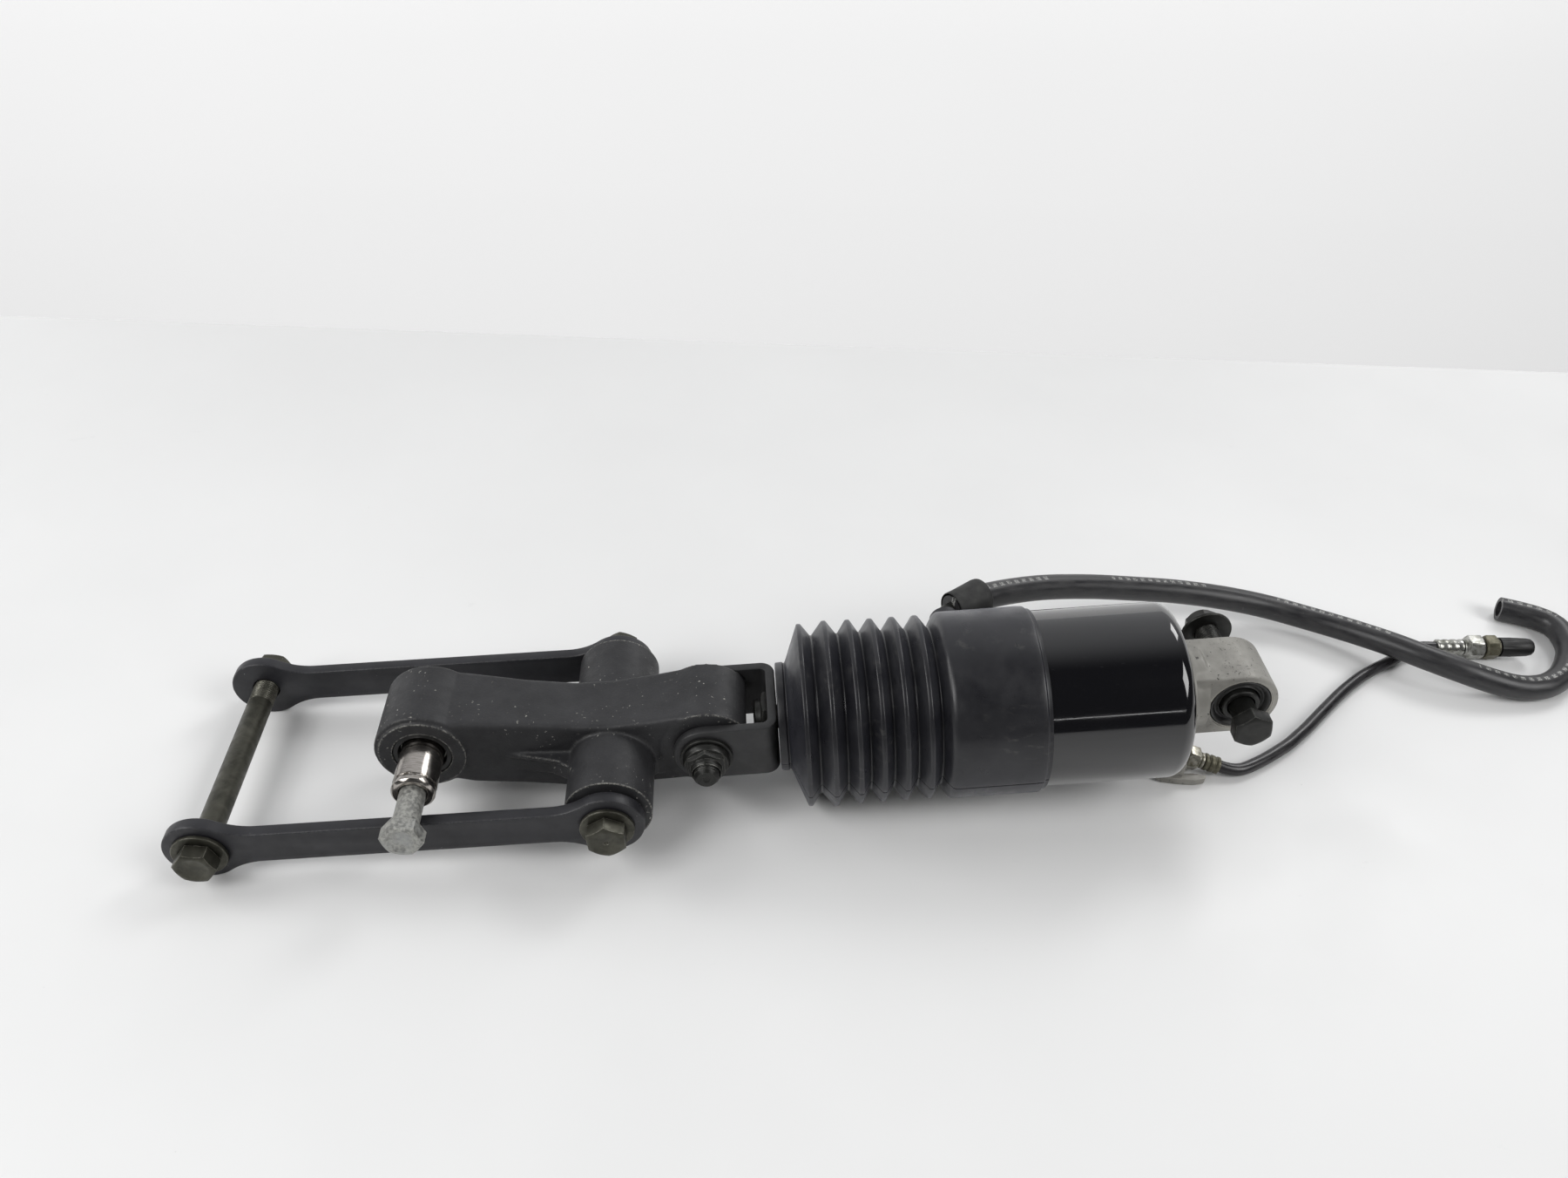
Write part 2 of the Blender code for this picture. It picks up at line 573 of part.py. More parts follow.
# ---------------------------------------------------------------- links
def make_link_arms(links):
    """Two flat arms with round eyes, blended into a narrower bar."""
    eye = ARM_EYE_RADIUS
    half = ARM_HALF_HEIGHT
    blend = 0.030
    across = math.acos((half + blend) / (eye + blend))
    run = (eye + blend) * math.sin(across)
    first = 90 - math.degrees(across)
    left = -LINK_LENGTH
    outline = [*arc((0, 0), eye, -180 + first, 180 - first, 14)]
    outline += arc((-run, half + blend), blend, -first, -90, 3)
    outline += arc((left + run, half + blend), blend, -90, -180 + first, 3)
    outline += arc((left, 0), eye, first, 360 - first, 14)
    outline += arc((left + run, -half - blend), blend, 180 - first, 90, 3)
    outline += arc((-run, -half - blend), blend, 90, first, 3)
    tidy = []
    for point in outline:
        if not tidy or math.dist(point, tidy[-1]) > 0.0001:
            tidy.append(point)
    if math.dist(tidy[0], tidy[-1]) < 0.0001:
        tidy.pop()
    for side, sign in (("near", -1), ("far", 1)):
        start, end = sorted((sign * ARM_INNER_FACE, sign * (ARM_INNER_FACE + ARM_THICKNESS)))
        arm = prism("link_arm_" + side, tidy, start, end, "Y", BLACK_PAINT, links)
        for label, x in (("pivot", 0), ("cross", left)):
            bore = rod_along_y("arm_" + side + "_" + label, BOLT_HOLE_RADIUS, 0.08, links, (x, 0, 0), 20)
            combine(arm, bore, "DIFFERENCE")


def make_arm_bolt(label, links, x, far_end):
    """A bolt through both link arms with two washers and a nut."""
    outer = ARM_INNER_FACE + ARM_THICKNESS + GAP
    hole = BOLT_RADIUS + GAP
    for side, sign in (("near", -1), ("far", 1)):
        start, end = sorted((sign * outer, sign * (outer + WASHER_THICKNESS)))
        ring(label + "_washer_" + side, start, end, WASHER_RADIUS, hole, DARK_STEEL, links,
             place=(x, 0, 0), turn=FACING_FAR, sides=20)
    seat = outer + WASHER_THICKNESS + GAP
    front = -(seat + HEAD_HEIGHT)
    bolt(label + "_bolt", front, far_end - front, DARK_STEEL, links, FACING_FAR, (x, 0))
    nut(label + "_nut", seat, DARK_STEEL, links, FACING_FAR, axis=(x, 0))


def make_link_sleeve(links):
    half = ARM_INNER_FACE - GAP
    ring("link_pivot_sleeve", -half, half, SLEEVE_RADIUS, BOLT_RADIUS + GAP, BRIGHT_STEEL, links,
         turn=FACING_FAR, sides=20)


# ---------------------------------------------------------------- upper mounting
def make_eye_bolt(shock):
    eye = empty("eye_axis", (EYE_STATION, 0, 0), parent=shock)
    half = 0.0156
    ring("eye_sleeve", -half, half, SLEEVE_RADIUS, BOLT_HOLE_RADIUS, DARK_STEEL, eye,
         turn=FACING_FAR, sides=20)
    bolt("eye_bolt", -0.0333, 0.0833, DARK_STEEL, eye, FACING_FAR)
    nut("eye_bolt_nut", 0.0370, DARK_STEEL, eye, FACING_FAR, flange=0.0130, thickness=0.0110)


# ---------------------------------------------------------------- hoses
def aim(direction):
    """The turn that points a turned body's X axis along a direction."""
    return Vector(direction).to_track_quat("X", "Z").to_euler()


def make_air_hose(bench):
    """The brass fitting on the cap's port, the air hose and its inflation valve."""
    path = smooth_path(AIR_HOSE_ROUTE, 0.0090)
    start = path[0]
    direction = (start - Vector((0.2450, 0.0030, 0.0088))).normalized()
    root = start - direction * (0.0192 + GAP)
    turned("air_fitting", ((0, 0), (0, 0.0048), (0.0020, 0.0048), (0.0022, 0.0055, "hex"),
                           (0.0080, 0.0055, "hex"), (0.0082, 0.0042), (0.0105, 0.0042),
                           (0.0105, 0)), BRASS, bench, root, aim(direction), sides=18)
    turned("air_hose_ferrule", ((0.0108, 0), (0.0108, 0.0040), (0.0114, 0.0045), (0.0184, 0.0045),
                                (0.0192, 0.0040), (0.0192, 0)), BRASS, bench, root,
           aim(direction), sides=16)
    tube("air_hose", path, AIR_HOSE_DIAMETER / 2, RUBBER, bench)
    heading = (path[-1] - path[-2]).normalized()
    place = path[-1] + heading * GAP
    turned("valve_ferrule", ((0, 0), (0, 0.0045), (0.0130, 0.0048), (0.0150, 0.0040), (0.0150, 0)),
           ZINC, bench, place, aim(heading), sides=18)
    turned("valve_body", ((0.0153, 0), (0.0153, 0.0050), (0.0172, 0.0050), (0.0175, 0.0063, "hex"),
                          (0.0255, 0.0063, "hex"), (0.0258, 0.0040), (0.0440, 0.0040),
                          (0.0440, 0)), BRIGHT_STEEL, bench, place, aim(heading), sides=18)
    turned("valve_nut", ((0.0268, 0.0043), (0.0268, 0.0058), (0.0290, 0.0062, "hex"),
                         (0.0345, 0.0062, "hex"), (0.0350, 0.0055), (0.0350, 0.0043)),
           BRASS, bench, place, aim(heading), sides=18, hollow=True)
    turned("valve_cap", ((0.0356, 0.0044), (0.0356, 0.0056), (0.0520, 0.0052), (0.0545, 0.0040),
                         (0.0545, 0), (0.0446, 0), (0.0446, 0.0044)), PLASTIC, bench, place,
           aim(heading), sides=18, hollow=True)


def make_breather_hose(bench):
    """A short bent nipple on the sleeve, the cuff and the open-ended breather hose."""
    path = smooth_path(BREATHER_HOSE_ROUTE, 0.0115)
    start = path[0]
    heading = (path[1] - start).normalized()
    elbow = smooth_path(((0.1228, 0.0543, 0.0598), (0.1229, 0.0559, 0.0598),
                         (0.1242, 0.0580, 0.0601), tuple(start - heading * GAP)), 0.0020)
    tube("breather_nipple", elbow, 0.0034, DARK_STEEL, bench)
    wall = BREATHER_HOSE_DIAMETER / 2 + 0.0008
    turned("breather_cuff", ((0, wall), (0, 0.0084), (0.0190, 0.0101), (0.0210, 0.0099), (0.0210, wall)),
           RUBBER, bench, start, aim(heading), sides=20, hollow=True)
    tube("breather_hose", path, BREATHER_HOSE_DIAMETER / 2, RUBBER, bench)


def main():
    clear_scene()
    middle = (-(BOX_LEFT + BOX_RIGHT) / 2, -(BOX_NEAR + BOX_FAR) / 2, 0.0)
    bench = empty("assembly", middle)
    shock = empty("shock_axis", SHOCK_PIVOT, (0, -SHOCK_TILT, 0), bench)
    relay = empty("relay_axis", SHOCK_PIVOT, parent=bench)
    links = empty("link_axis", LINK_PIVOT, (0, -LINK_SLOPE, 0), bench)

    make_air_can(shock)
    make_upper_end_cap(shock, bench)
    make_dust_boot(shock)
    make_damper(shock)
    make_spring(shock)
    make_eye_bush(shock)
    make_rod(shock)
    make_clevis(shock)
    make_clevis_bolt(shock)
    make_relay_arm(relay, bench)
    make_relay_bearings(relay)
    make_frame_pivot(bench)
    make_link_arms(links)
    make_arm_bolt("link_pivot", links, 0.0, BOX_FAR)
    cross = empty("cross_bolt_axis", (-LINK_LENGTH, 0, 0), parent=links)
    make_arm_bolt("cross", cross, 0.0, 0.0682)
    make_link_sleeve(links)
    make_eye_bolt(shock)
    make_air_hose(bench)
    make_breather_hose(bench)


main()
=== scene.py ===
"""The looks of an air-assisted rear shock absorber with its suspension linkage.

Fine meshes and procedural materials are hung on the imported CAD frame. Metres, +Z up.
Places come from the frame's joints. A piece is modelled in one of four local frames:
  BENCH  the bench frame of the design, X = 0 at the shock's lower pivot
  SHOCK  X along the shock's axis, from its lower pivot
  LINKS  X along the link arms, from the pivot that they share with the relay arm
  CROSS  the same directions, at the cross bolt
"""

import json
import math

import bmesh
import bpy
from mathutils import Matrix, Vector


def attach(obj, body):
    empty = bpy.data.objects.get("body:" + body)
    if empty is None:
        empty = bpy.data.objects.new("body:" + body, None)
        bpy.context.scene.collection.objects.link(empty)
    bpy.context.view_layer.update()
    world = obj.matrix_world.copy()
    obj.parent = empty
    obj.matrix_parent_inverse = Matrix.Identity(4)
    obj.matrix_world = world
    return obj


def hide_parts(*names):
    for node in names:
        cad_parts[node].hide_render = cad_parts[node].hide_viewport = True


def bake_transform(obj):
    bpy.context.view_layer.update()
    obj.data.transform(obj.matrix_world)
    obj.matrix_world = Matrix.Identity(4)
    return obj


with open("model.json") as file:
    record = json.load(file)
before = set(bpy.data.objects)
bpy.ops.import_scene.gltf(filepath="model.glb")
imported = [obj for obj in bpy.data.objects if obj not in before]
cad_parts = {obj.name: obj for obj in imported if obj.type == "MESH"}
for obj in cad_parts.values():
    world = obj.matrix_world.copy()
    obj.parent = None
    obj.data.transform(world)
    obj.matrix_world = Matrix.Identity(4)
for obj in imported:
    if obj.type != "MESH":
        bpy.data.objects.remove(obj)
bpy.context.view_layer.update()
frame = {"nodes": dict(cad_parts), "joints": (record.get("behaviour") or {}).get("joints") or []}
JOINTS = {joint["name"]: joint for joint in frame["joints"]}


# ---------------------------------------------------------------- local frames
def joint_place(name):
    """The place of a joint at rest, in the row frame."""
    return Vector(JOINTS[name]["pos_m"])


PIVOT_HEIGHT = joint_place("rocker_pivot").z
STROKE_AXIS = Vector(JOINTS["shock_stroke"]["axis"])
ARM_LINE = joint_place("link_swing") - joint_place("cross_bolt_spin")
BENCH = Matrix.Translation(joint_place("rocker_pivot") - Vector((0, 0, PIVOT_HEIGHT)))
SHOCK = (Matrix.Translation(joint_place("rocker_pivot"))
         @ Matrix.Rotation(-math.atan2(STROKE_AXIS.z, STROKE_AXIS.x), 4, "Y"))
ARM_TURN = Matrix.Rotation(-math.atan2(ARM_LINE.z, ARM_LINE.x), 4, "Y")
LINKS = Matrix.Translation(joint_place("link_swing")) @ ARM_TURN
CROSS = Matrix.Translation(joint_place("cross_bolt_spin")) @ ARM_TURN
COLLAR = Matrix.Translation(joint_place("collar_spin"))
EYE = SHOCK @ Matrix.Translation((0.2566, 0, 0))
FACING_FAR = Matrix.Rotation(math.pi / 2, 4, "Z")
FACING_NEAR = Matrix.Rotation(-math.pi / 2, 4, "Z")

# ---------------------------------------------------------------- sizes, as in the design
GAP = 0.0003
BOLT_RADIUS = 0.0060
BOLT_HOLE = 0.0064
HEX_FLAT = 0.0085
HEX_FACE_SHARE = 0.93
CHAMFER_SLOPE = 0.52
HEAD_HEIGHT = 0.0075
SLEEVE_RADIUS = 0.0090
WASHER_RADIUS = 0.0125
WASHER_THICKNESS = 0.0020
THREAD_PITCH = 0.00125

CAN_RADIUS = 0.0427
CAN_WALL = 0.0018
CAN_START = 0.1135
CAN_END = 0.2270
CAN_SHOULDER = 0.0075
CAP_HOLE = 0.0262
SLEEVE_END = 0.1596
BOOT_SLEEVE = 0.0453
BOOT_NECK_START = 0.0366
BOOT_NECK = 0.0255
BOOT_WALL = 0.0023
FIN_TIPS = ((0.0478, 0.0443), (0.0601, 0.0450), (0.0717, 0.0447),
            (0.0826, 0.0445), (0.0934, 0.0445), (0.1046, 0.0445))
FIN_VALLEYS = (0.0534, 0.0661, 0.0768, 0.0878, 0.0989, 0.1102)
VALLEY_RADIUS = 0.0377

EYE_STATION = 0.2566
EYE_RADIUS = 0.0181
EYE_HALF_WIDTH = 0.01515
EYE_BORE = 0.0148

CLEVIS_HALF_WIDTH = 0.0227
CLEVIS_PLATE = 0.0045
CLEVIS_HALF_HEIGHT = 0.0155
CLEVIS_BASE = 0.0345
CLEVIS_BEND = 0.0070
ROD_HOLE = 0.0063
ROD_NUT_FLAT = 0.0110

FRAME_PIVOT = (-0.13305, 0.0, 0.03993)
LINK_PIVOT = (-0.0451, 0.0, 0.0304)
SHOCK_PIVOT = (0.0, 0.0, PIVOT_HEIGHT)
BAR_STATIONS = ((-0.1290, 0.0590, 0.0240, 0.0190), (-0.1110, 0.0575, 0.0185, 0.0181),
                (-0.0870, 0.0551, 0.0150, 0.0162), (-0.0630, 0.0530, 0.0120, 0.0159),
                (-0.0460, 0.0535, 0.0125, 0.0166), (-0.0250, 0.0570, 0.0165, 0.0172),
                (-0.0050, 0.0615, 0.0190, 0.0174))
FRAME_BOSS = (0.0201, 0.0197)
LINK_BOSS = (0.0203, 0.0484)
SHOCK_BOSS = (0.0222, 0.0176)
RELAY_BORE = 0.0138

ARM_INNER_FACE = 0.0501
ARM_THICKNESS = 0.0060
ARM_EYE = 0.0170
ARM_HALF_HEIGHT = 0.0092
ARM_BLEND = 0.030

AIR_HOSE_DIAMETER = 0.0065
AIR_HOSE_ROUTE = (
    (0.2643, -0.0022, 0.0050), (0.2695, -0.0035, 0.0040), (0.2754, -0.0034, 0.0034),
    (0.2818, -0.0010, 0.0033), (0.2904, 0.0033, 0.0033), (0.2992, 0.0085, 0.0033),
    (0.3084, 0.0144, 0.0033), (0.3154, 0.0200, 0.0033), (0.3224, 0.0257, 0.0033),
    (0.3375, 0.0392, 0.0033), (0.3529, 0.0526, 0.0033), (0.3677, 0.0638, 0.0033),
    (0.3800, 0.0713, 0.0033), (0.3888, 0.0758, 0.0034), (0.3962, 0.0799, 0.0036),
    (0.4040, 0.0846, 0.0040), (0.4128, 0.0878, 0.0048), (0.4222, 0.0870, 0.0055))
BREATHER_HOSE_DIAMETER = 0.0140
BREATHER_HOSE_ROUTE = (
    (0.1275, 0.0603, 0.0602), (0.1322, 0.0632, 0.0600), (0.1385, 0.0671, 0.0594),
    (0.1475, 0.0725, 0.0580), (0.1640, 0.0815, 0.0540), (0.1860, 0.0915, 0.0484),
    (0.2140, 0.1012, 0.0408), (0.2430, 0.1090, 0.0328), (0.2725, 0.1150, 0.0254),
    (0.3010, 0.1172, 0.0190), (0.3276, 0.1148, 0.0142), (0.3515, 0.1065, 0.0118),
    (0.3723, 0.0935, 0.0128), (0.3900, 0.0785, 0.0152), (0.4045, 0.0665, 0.0158),
    (0.4205, 0.0578, 0.0142), (0.4353, 0.0530, 0.0112), (0.4485, 0.0508, 0.0084),
    (0.4590, 0.0504, 0.0073), (0.4712, 0.0528, 0.0072), (0.4848, 0.0617, 0.0072),
    (0.4985, 0.0790, 0.0072), (0.5030, 0.0945, 0.0072), (0.5016, 0.1040, 0.0072),
    (0.4955, 0.1102, 0.0072), (0.4864, 0.1152, 0.0072), (0.4768, 0.1191, 0.0072))


# ---------------------------------------------------------------- materials
class Look:
    """A procedural material: a Principled shader, and short ways to add nodes to it.
    Noise scales are in features per metre, in the object's own coordinates."""

    def __init__(self, name, roughness=0.5, metallic=0.0, **sockets):
        self.material = bpy.data.materials.new(name)
        self.material.use_nodes = True
        self.tree = self.material.node_tree
        self.shader = self.tree.nodes["Principled BSDF"]
        self.shader.inputs["Roughness"].default_value = roughness
        self.shader.inputs["Metallic"].default_value = metallic
        for socket, value in sockets.items():
            self.shader.inputs[socket.replace("_", " ")].default_value = value
        self.place = self.node("ShaderNodeTexCoord").outputs["Object"]

    def node(self, kind, inputs=None, **settings):
        item = self.tree.nodes.new(kind)
        for setting, value in settings.items():
            setattr(item, setting, value)
        for socket, value in (inputs or {}).items():
            if isinstance(value, bpy.types.NodeSocket):
                self.tree.links.new(value, item.inputs[socket])
            else:
                item.inputs[socket].default_value = value
        return item

    def stretched(self, scale, turn=0.0):
        item = self.node("ShaderNodeMapping", {"Vector": self.place, "Scale": scale})
        item.inputs["Rotation"].default_value = (0, turn, 0)
        return item.outputs["Vector"]

    def noise(self, scale, detail=3.0, stretch=None, turn=0.0, distortion=0.0, rough=0.55):
        where = self.stretched(stretch, turn) if stretch else self.place
        item = self.node("ShaderNodeTexNoise", {"Vector": where, "Scale": scale, "Detail": detail,
                                                "Roughness": rough, "Distortion": distortion})
        return item.outputs["Fac"]

    def band(self, value, low, high, bottom=0.0, top=1.0):
        """value mapped from low..high to bottom..top, clamped."""
        item = self.node("ShaderNodeMapRange", {"Value": value, "From Min": low, "From Max": high,
                                                "To Min": bottom, "To Max": top})
        return item.outputs["Result"]

    def math(self, operation, first, second=0.0):
        item = self.node("ShaderNodeMath", {0: first, 1: second}, operation=operation)
        return item.outputs[0]

    def times(self, first, second):
        return self.math("MULTIPLY", first, second)

    def higher(self, first, second):
        return self.math("MAXIMUM", first, second)

    def mix(self, share, first, second):
        item = self.node("ShaderNodeMix", data_type="RGBA")
        for socket, value in ((0, share), (6, first), (7, second)):
            if isinstance(value, bpy.types.NodeSocket):
                self.tree.links.new(value, item.inputs[socket])
            else:
                item.inputs[socket].default_value = (*value, 1.0) if socket else value
        return item.outputs[2]

    def axis(self, name):
        split = self.node("ShaderNodeSeparateXYZ", {"Vector": self.place})
        return split.outputs[name]

    def along(self, direction):
        """The object coordinate measured along a direction."""
        item = self.node("ShaderNodeVectorMath", {0: self.place, 1: tuple(direction)},
                         operation="DOT_PRODUCT")
        return item.outputs["Value"]

    def edges(self, width, samples=4):
        """1 on sharp edges within about width, 0 on flat faces."""
        soft = self.node("ShaderNodeBevel", {"Radius": width}, samples=samples)
        true = self.node("ShaderNodeNewGeometry")
        dot = self.node("ShaderNodeVectorMath", {0: soft.outputs["Normal"], 1: true.outputs["Normal"]},
                        operation="DOT_PRODUCT")
        return self.band(dot.outputs["Value"], 0.985, 0.86)

    def worn_edges(self, width, scale=900, low=0.40, high=0.62):
        return self.math("MULTIPLY", self.edges(width), self.band(self.noise(scale, 5), low, high))

    def colour(self, value):
        if isinstance(value, bpy.types.NodeSocket):
            self.tree.links.new(value, self.shader.inputs["Base Color"])
        else:
            self.shader.inputs["Base Color"].default_value = (*value, 1.0)

    def set(self, socket, value):
        self.tree.links.new(value, self.shader.inputs[socket])

    def bump(self, *layers):
        """Each layer is (height, distance in metres, strength)."""
        normal = None
        for height, distance, strength in layers:
            inputs = {"Height": height, "Distance": distance, "Strength": strength}
            if normal:
                inputs["Normal"] = normal
            normal = self.node("ShaderNodeBump", inputs).outputs["Normal"]
        self.tree.links.new(normal, self.shader.inputs["Normal"])


def paint_look(name, base, lighter, worn, roughness, wear_width, grain, grain_depth, speckle=0.74):
    """Black paint on steel: mottled, grained, worn through along its edges."""
    look = Look(name, roughness=roughness, Specular_IOR_Level=0.45)
    patches = look.noise(45, 5, rough=0.65)
    tone = look.mix(look.band(patches, 0.35, 0.70), base, lighter)
    wear = look.worn_edges(wear_width)
    chips = look.times(look.band(look.noise(520, 6, rough=0.6), speckle, speckle + 0.03),
                      look.band(look.noise(34, 3), 0.44, 0.58))
    mask = look.higher(wear, chips)
    look.colour(look.mix(look.times(mask, 0.85), tone, worn))
    rough_patches = look.band(look.noise(160, 4), 0.3, 0.7, roughness - 0.07, roughness + 0.10)
    look.set("Roughness", rough_patches)
    look.bump((look.noise(grain, 4), grain_depth, 0.6), (mask, 0.00006, 0.5))
    return look


def link_paint():
    return paint_look("satin_black_paint", (0.0115, 0.0115, 0.014), (0.022, 0.022, 0.026),
                      (0.42, 0.41, 0.40), 0.42, 0.0009, 2600, 0.00004, speckle=0.72).material


def clevis_paint():
    return paint_look("clevis_black_paint", (0.017, 0.017, 0.018), (0.034, 0.034, 0.035),
                      (0.18, 0.18, 0.17), 0.44, 0.0006, 1900, 0.00005).material


def forging_paint():
    look = paint_look("forged_black_paint", (0.015, 0.015, 0.0165), (0.029, 0.029, 0.031),
                      (0.44, 0.43, 0.39), 0.52, 0.0014, 950, 0.00022, speckle=0.655)
    return look.material


def can_paint():
    """Deep gloss black with fine scratches, dust and chips round its rims."""
    look = Look("gloss_black_paint", roughness=0.08, Specular_IOR_Level=0.62, Coat_Weight=0.5,
                Coat_Roughness=0.05)
    scratch = look.band(look.noise(190, 2, stretch=(1.0, 14, 14), turn=0.5), 0.715, 0.735)
    dust = look.band(look.noise(700, 6, rough=0.7), 0.73, 0.80)
    chips = look.worn_edges(0.0010, 420, 0.48, 0.56)
    tone = look.mix(look.times(dust, 0.25), (0.0030, 0.0030, 0.0042), (0.20, 0.20, 0.20))
    tone = look.mix(look.times(scratch, 0.10), tone, (0.20, 0.20, 0.21))
    look.colour(look.mix(chips, tone, (0.52, 0.50, 0.45)))
    haze = look.band(look.noise(60, 4), 0.35, 0.75, 0.06, 0.13)
    look.set("Roughness", look.higher(haze, look.times(chips, 0.5)))
    look.bump((look.noise(160, 2), 0.00005, 0.12), (chips, 0.00008, 0.5))
    return look.material


def boot_rubber():
    """Moulded rubber: satin, with a faint bloom, dusty scuffs and dark rub marks."""
    look = Look("boot_rubber", roughness=0.32, Specular_IOR_Level=0.5, Sheen_Weight=0.05,
                Sheen_Roughness=0.5, Sheen_Tint=(0.45, 0.48, 0.75, 1.0))
    patches = look.noise(38, 5, distortion=0.4)
    tone = look.mix(look.band(patches, 0.38, 0.70), (0.0075, 0.0075, 0.0095), (0.017, 0.017, 0.0195))
    scuffs = look.times(look.band(look.noise(120, 6, stretch=(1, 1, 2.6), rough=0.68),
                                             0.55, 0.70),
                       look.band(look.noise(26, 2), 0.45, 0.62))
    tone = look.mix(look.times(scuffs, 0.55), tone, (0.075, 0.073, 0.068))
    low = look.band(look.axis("Z"), 0.030, 0.002)
    dust = look.times(low, look.band(look.noise(210, 5), 0.40, 0.66))
    tone = look.mix(look.times(dust, 0.60), tone, (0.11, 0.107, 0.098))
    rub = look.band(look.noise(75, 3, stretch=(5.0, 1, 1), distortion=0.6), 0.68, 0.71)
    look.colour(look.mix(look.times(rub, 0.8), tone, (0.004, 0.004, 0.005)))
    look.set("Roughness", look.band(look.noise(95, 4), 0.3, 0.7, 0.26, 0.44))
    look.bump((look.noise(1700, 3), 0.00004, 0.35), (scuffs, 0.00003, 0.3))
    return look.material


def plain_rubber(name, base, lighter, roughness, grain=2200):
    look = Look(name, roughness=roughness, Specular_IOR_Level=0.45)
    look.colour(look.mix(look.band(look.noise(140, 5), 0.40, 0.68), base, lighter))
    look.set("Roughness", look.band(look.noise(220, 3), 0.3, 0.7, roughness - 0.06, roughness + 0.12))
    look.bump((look.noise(grain, 3), 0.00004, 0.4))
    return look.material


def hose_rubber(name, base, lighter, roughness, marks=False):
    """Extruded hose rubber. Its length in metres and its turn about the centre line come from
    the mesh. marks adds a row of short pale dashes, as a plain stand-in for a printed line."""
    look = Look(name, roughness=roughness, Specular_IOR_Level=0.5)
    where = look.node("ShaderNodeAttribute", attribute_name="hose_place")
    split = look.node("ShaderNodeSeparateXYZ", {"Vector": where.outputs["Vector"]})
    length, side, top = split.outputs["X"], split.outputs["Y"], split.outputs["Z"]
    drawn = look.node("ShaderNodeCombineXYZ", {"X": look.times(length, 30.0), "Y": side, "Z": top})
    streaks = look.node("ShaderNodeTexNoise", {"Vector": drawn.outputs["Vector"], "Scale": 3.0,
                                               "Detail": 5.0, "Roughness": 0.6}).outputs["Fac"]
    tone = look.mix(look.band(streaks, 0.36, 0.68), base, lighter)
    dust = look.times(look.band(look.noise(330, 6, rough=0.7), 0.60, 0.72),
                     look.band(look.noise(45, 2), 0.42, 0.60))
    tone = look.mix(look.times(dust, 0.35), tone, (0.16, 0.155, 0.145))
    if marks:
        beat = look.math("FRACT", look.times(length, 190.0))
        dash = look.band(beat, 0.52, 0.58, 1.0, 0.0)
        groups = look.band(look.math("FRACT", look.times(length, 9.0)), 0.60, 0.61, 1.0, 0.0)
        row = look.band(look.math("ABSOLUTE", look.math("SUBTRACT", side, 0.10)), 0.16, 0.20, 1.0, 0.0)
        upper = look.band(top, 0.2, 0.4)
        worn = look.band(look.noise(1500, 4), 0.44, 0.54)
        mask = look.times(look.times(dash, groups),
                         look.times(look.times(row, upper), worn))
        tone = look.mix(look.times(mask, 0.75), tone, (0.42, 0.42, 0.40))
    look.colour(tone)
    look.set("Roughness", look.band(streaks, 0.3, 0.7, roughness - 0.06, roughness + 0.12))
    look.bump((look.noise(1600, 3), 0.00003, 0.3))
    return look.material


def steel_look(name, base, darker, edge, roughness, metallic, stain_scale=120, rings=None,
               wear_width=0.0006, grain=900, depth=0.00003):
    """Worn steel. rings is the stretch that turns noise into lathe lines round an axis."""
    look = Look(name, roughness=roughness, metallic=metallic)
    stains = look.band(look.noise(stain_scale, 6, rough=0.65, distortion=0.5), 0.36, 0.66)
    tone = look.mix(stains, darker, base)
    wear = look.worn_edges(wear_width, 700, 0.34, 0.56)
    look.colour(look.mix(wear, tone, edge))
    look.set("Roughness", look.band(look.noise(260, 4), 0.3, 0.7, roughness - 0.08, roughness + 0.14))
    layers = [(look.noise(grain, 4), depth, 0.5)]
    if rings:
        layers.append((look.noise(700, 2, stretch=rings), 0.00001, 0.5))
    look.bump(*layers)
    return look.material


def corroded_zinc():
    """Zinc plate eaten by white corrosion, with dark steel showing between."""
    look = Look("corroded_zinc", roughness=0.5, metallic=0.55)
    bloom = look.band(look.noise(520, 6, rough=0.66, distortion=0.4), 0.40, 0.60)
    bare = look.band(look.noise(70, 3), 0.50, 0.62)
    tone = look.mix(bloom, (0.21, 0.21, 0.20), (0.43, 0.43, 0.40))
    tone = look.mix(look.times(bare, 0.5), tone, (0.34, 0.35, 0.35))
    look.colour(look.mix(look.worn_edges(0.0006, 600), tone, (0.60, 0.60, 0.54)))
    look.set("Roughness", look.band(bloom, 0.0, 1.0, 0.34, 0.68))
    look.bump((bloom, 0.00003, 0.35), (look.noise(2200, 3), 0.00002, 0.4))
    return look.material


def cast_aluminium():
    """Sand-cast aluminium with dark pits and bright worn edges."""
    look = Look("cast_aluminium", roughness=0.52, metallic=0.3)
    cloud = look.band(look.noise(55, 5), 0.35, 0.68)
    tone = look.mix(cloud, (0.235, 0.228, 0.208), (0.345, 0.336, 0.308))
    pits = look.higher(look.band(look.noise(430, 2), 0.68, 0.71),
                     look.times(look.band(look.noise(1100, 3), 0.63, 0.68),
                               look.band(look.noise(60, 2), 0.45, 0.6)))
    tone = look.mix(look.worn_edges(0.0009, 300, 0.30, 0.52), tone, (0.52, 0.50, 0.45))
    look.colour(look.mix(look.times(pits, 0.9), tone, (0.035, 0.033, 0.030)))
    look.set("Roughness", look.band(look.noise(240, 4), 0.3, 0.7, 0.44, 0.64))
    look.set("Metallic", look.band(pits, 0.0, 1.0, 0.30, 0.0))
    look.bump((look.noise(1300, 4), 0.00005, 0.5), (look.math("SUBTRACT", 1.0, pits), 0.00016, 0.8))
    return look.material


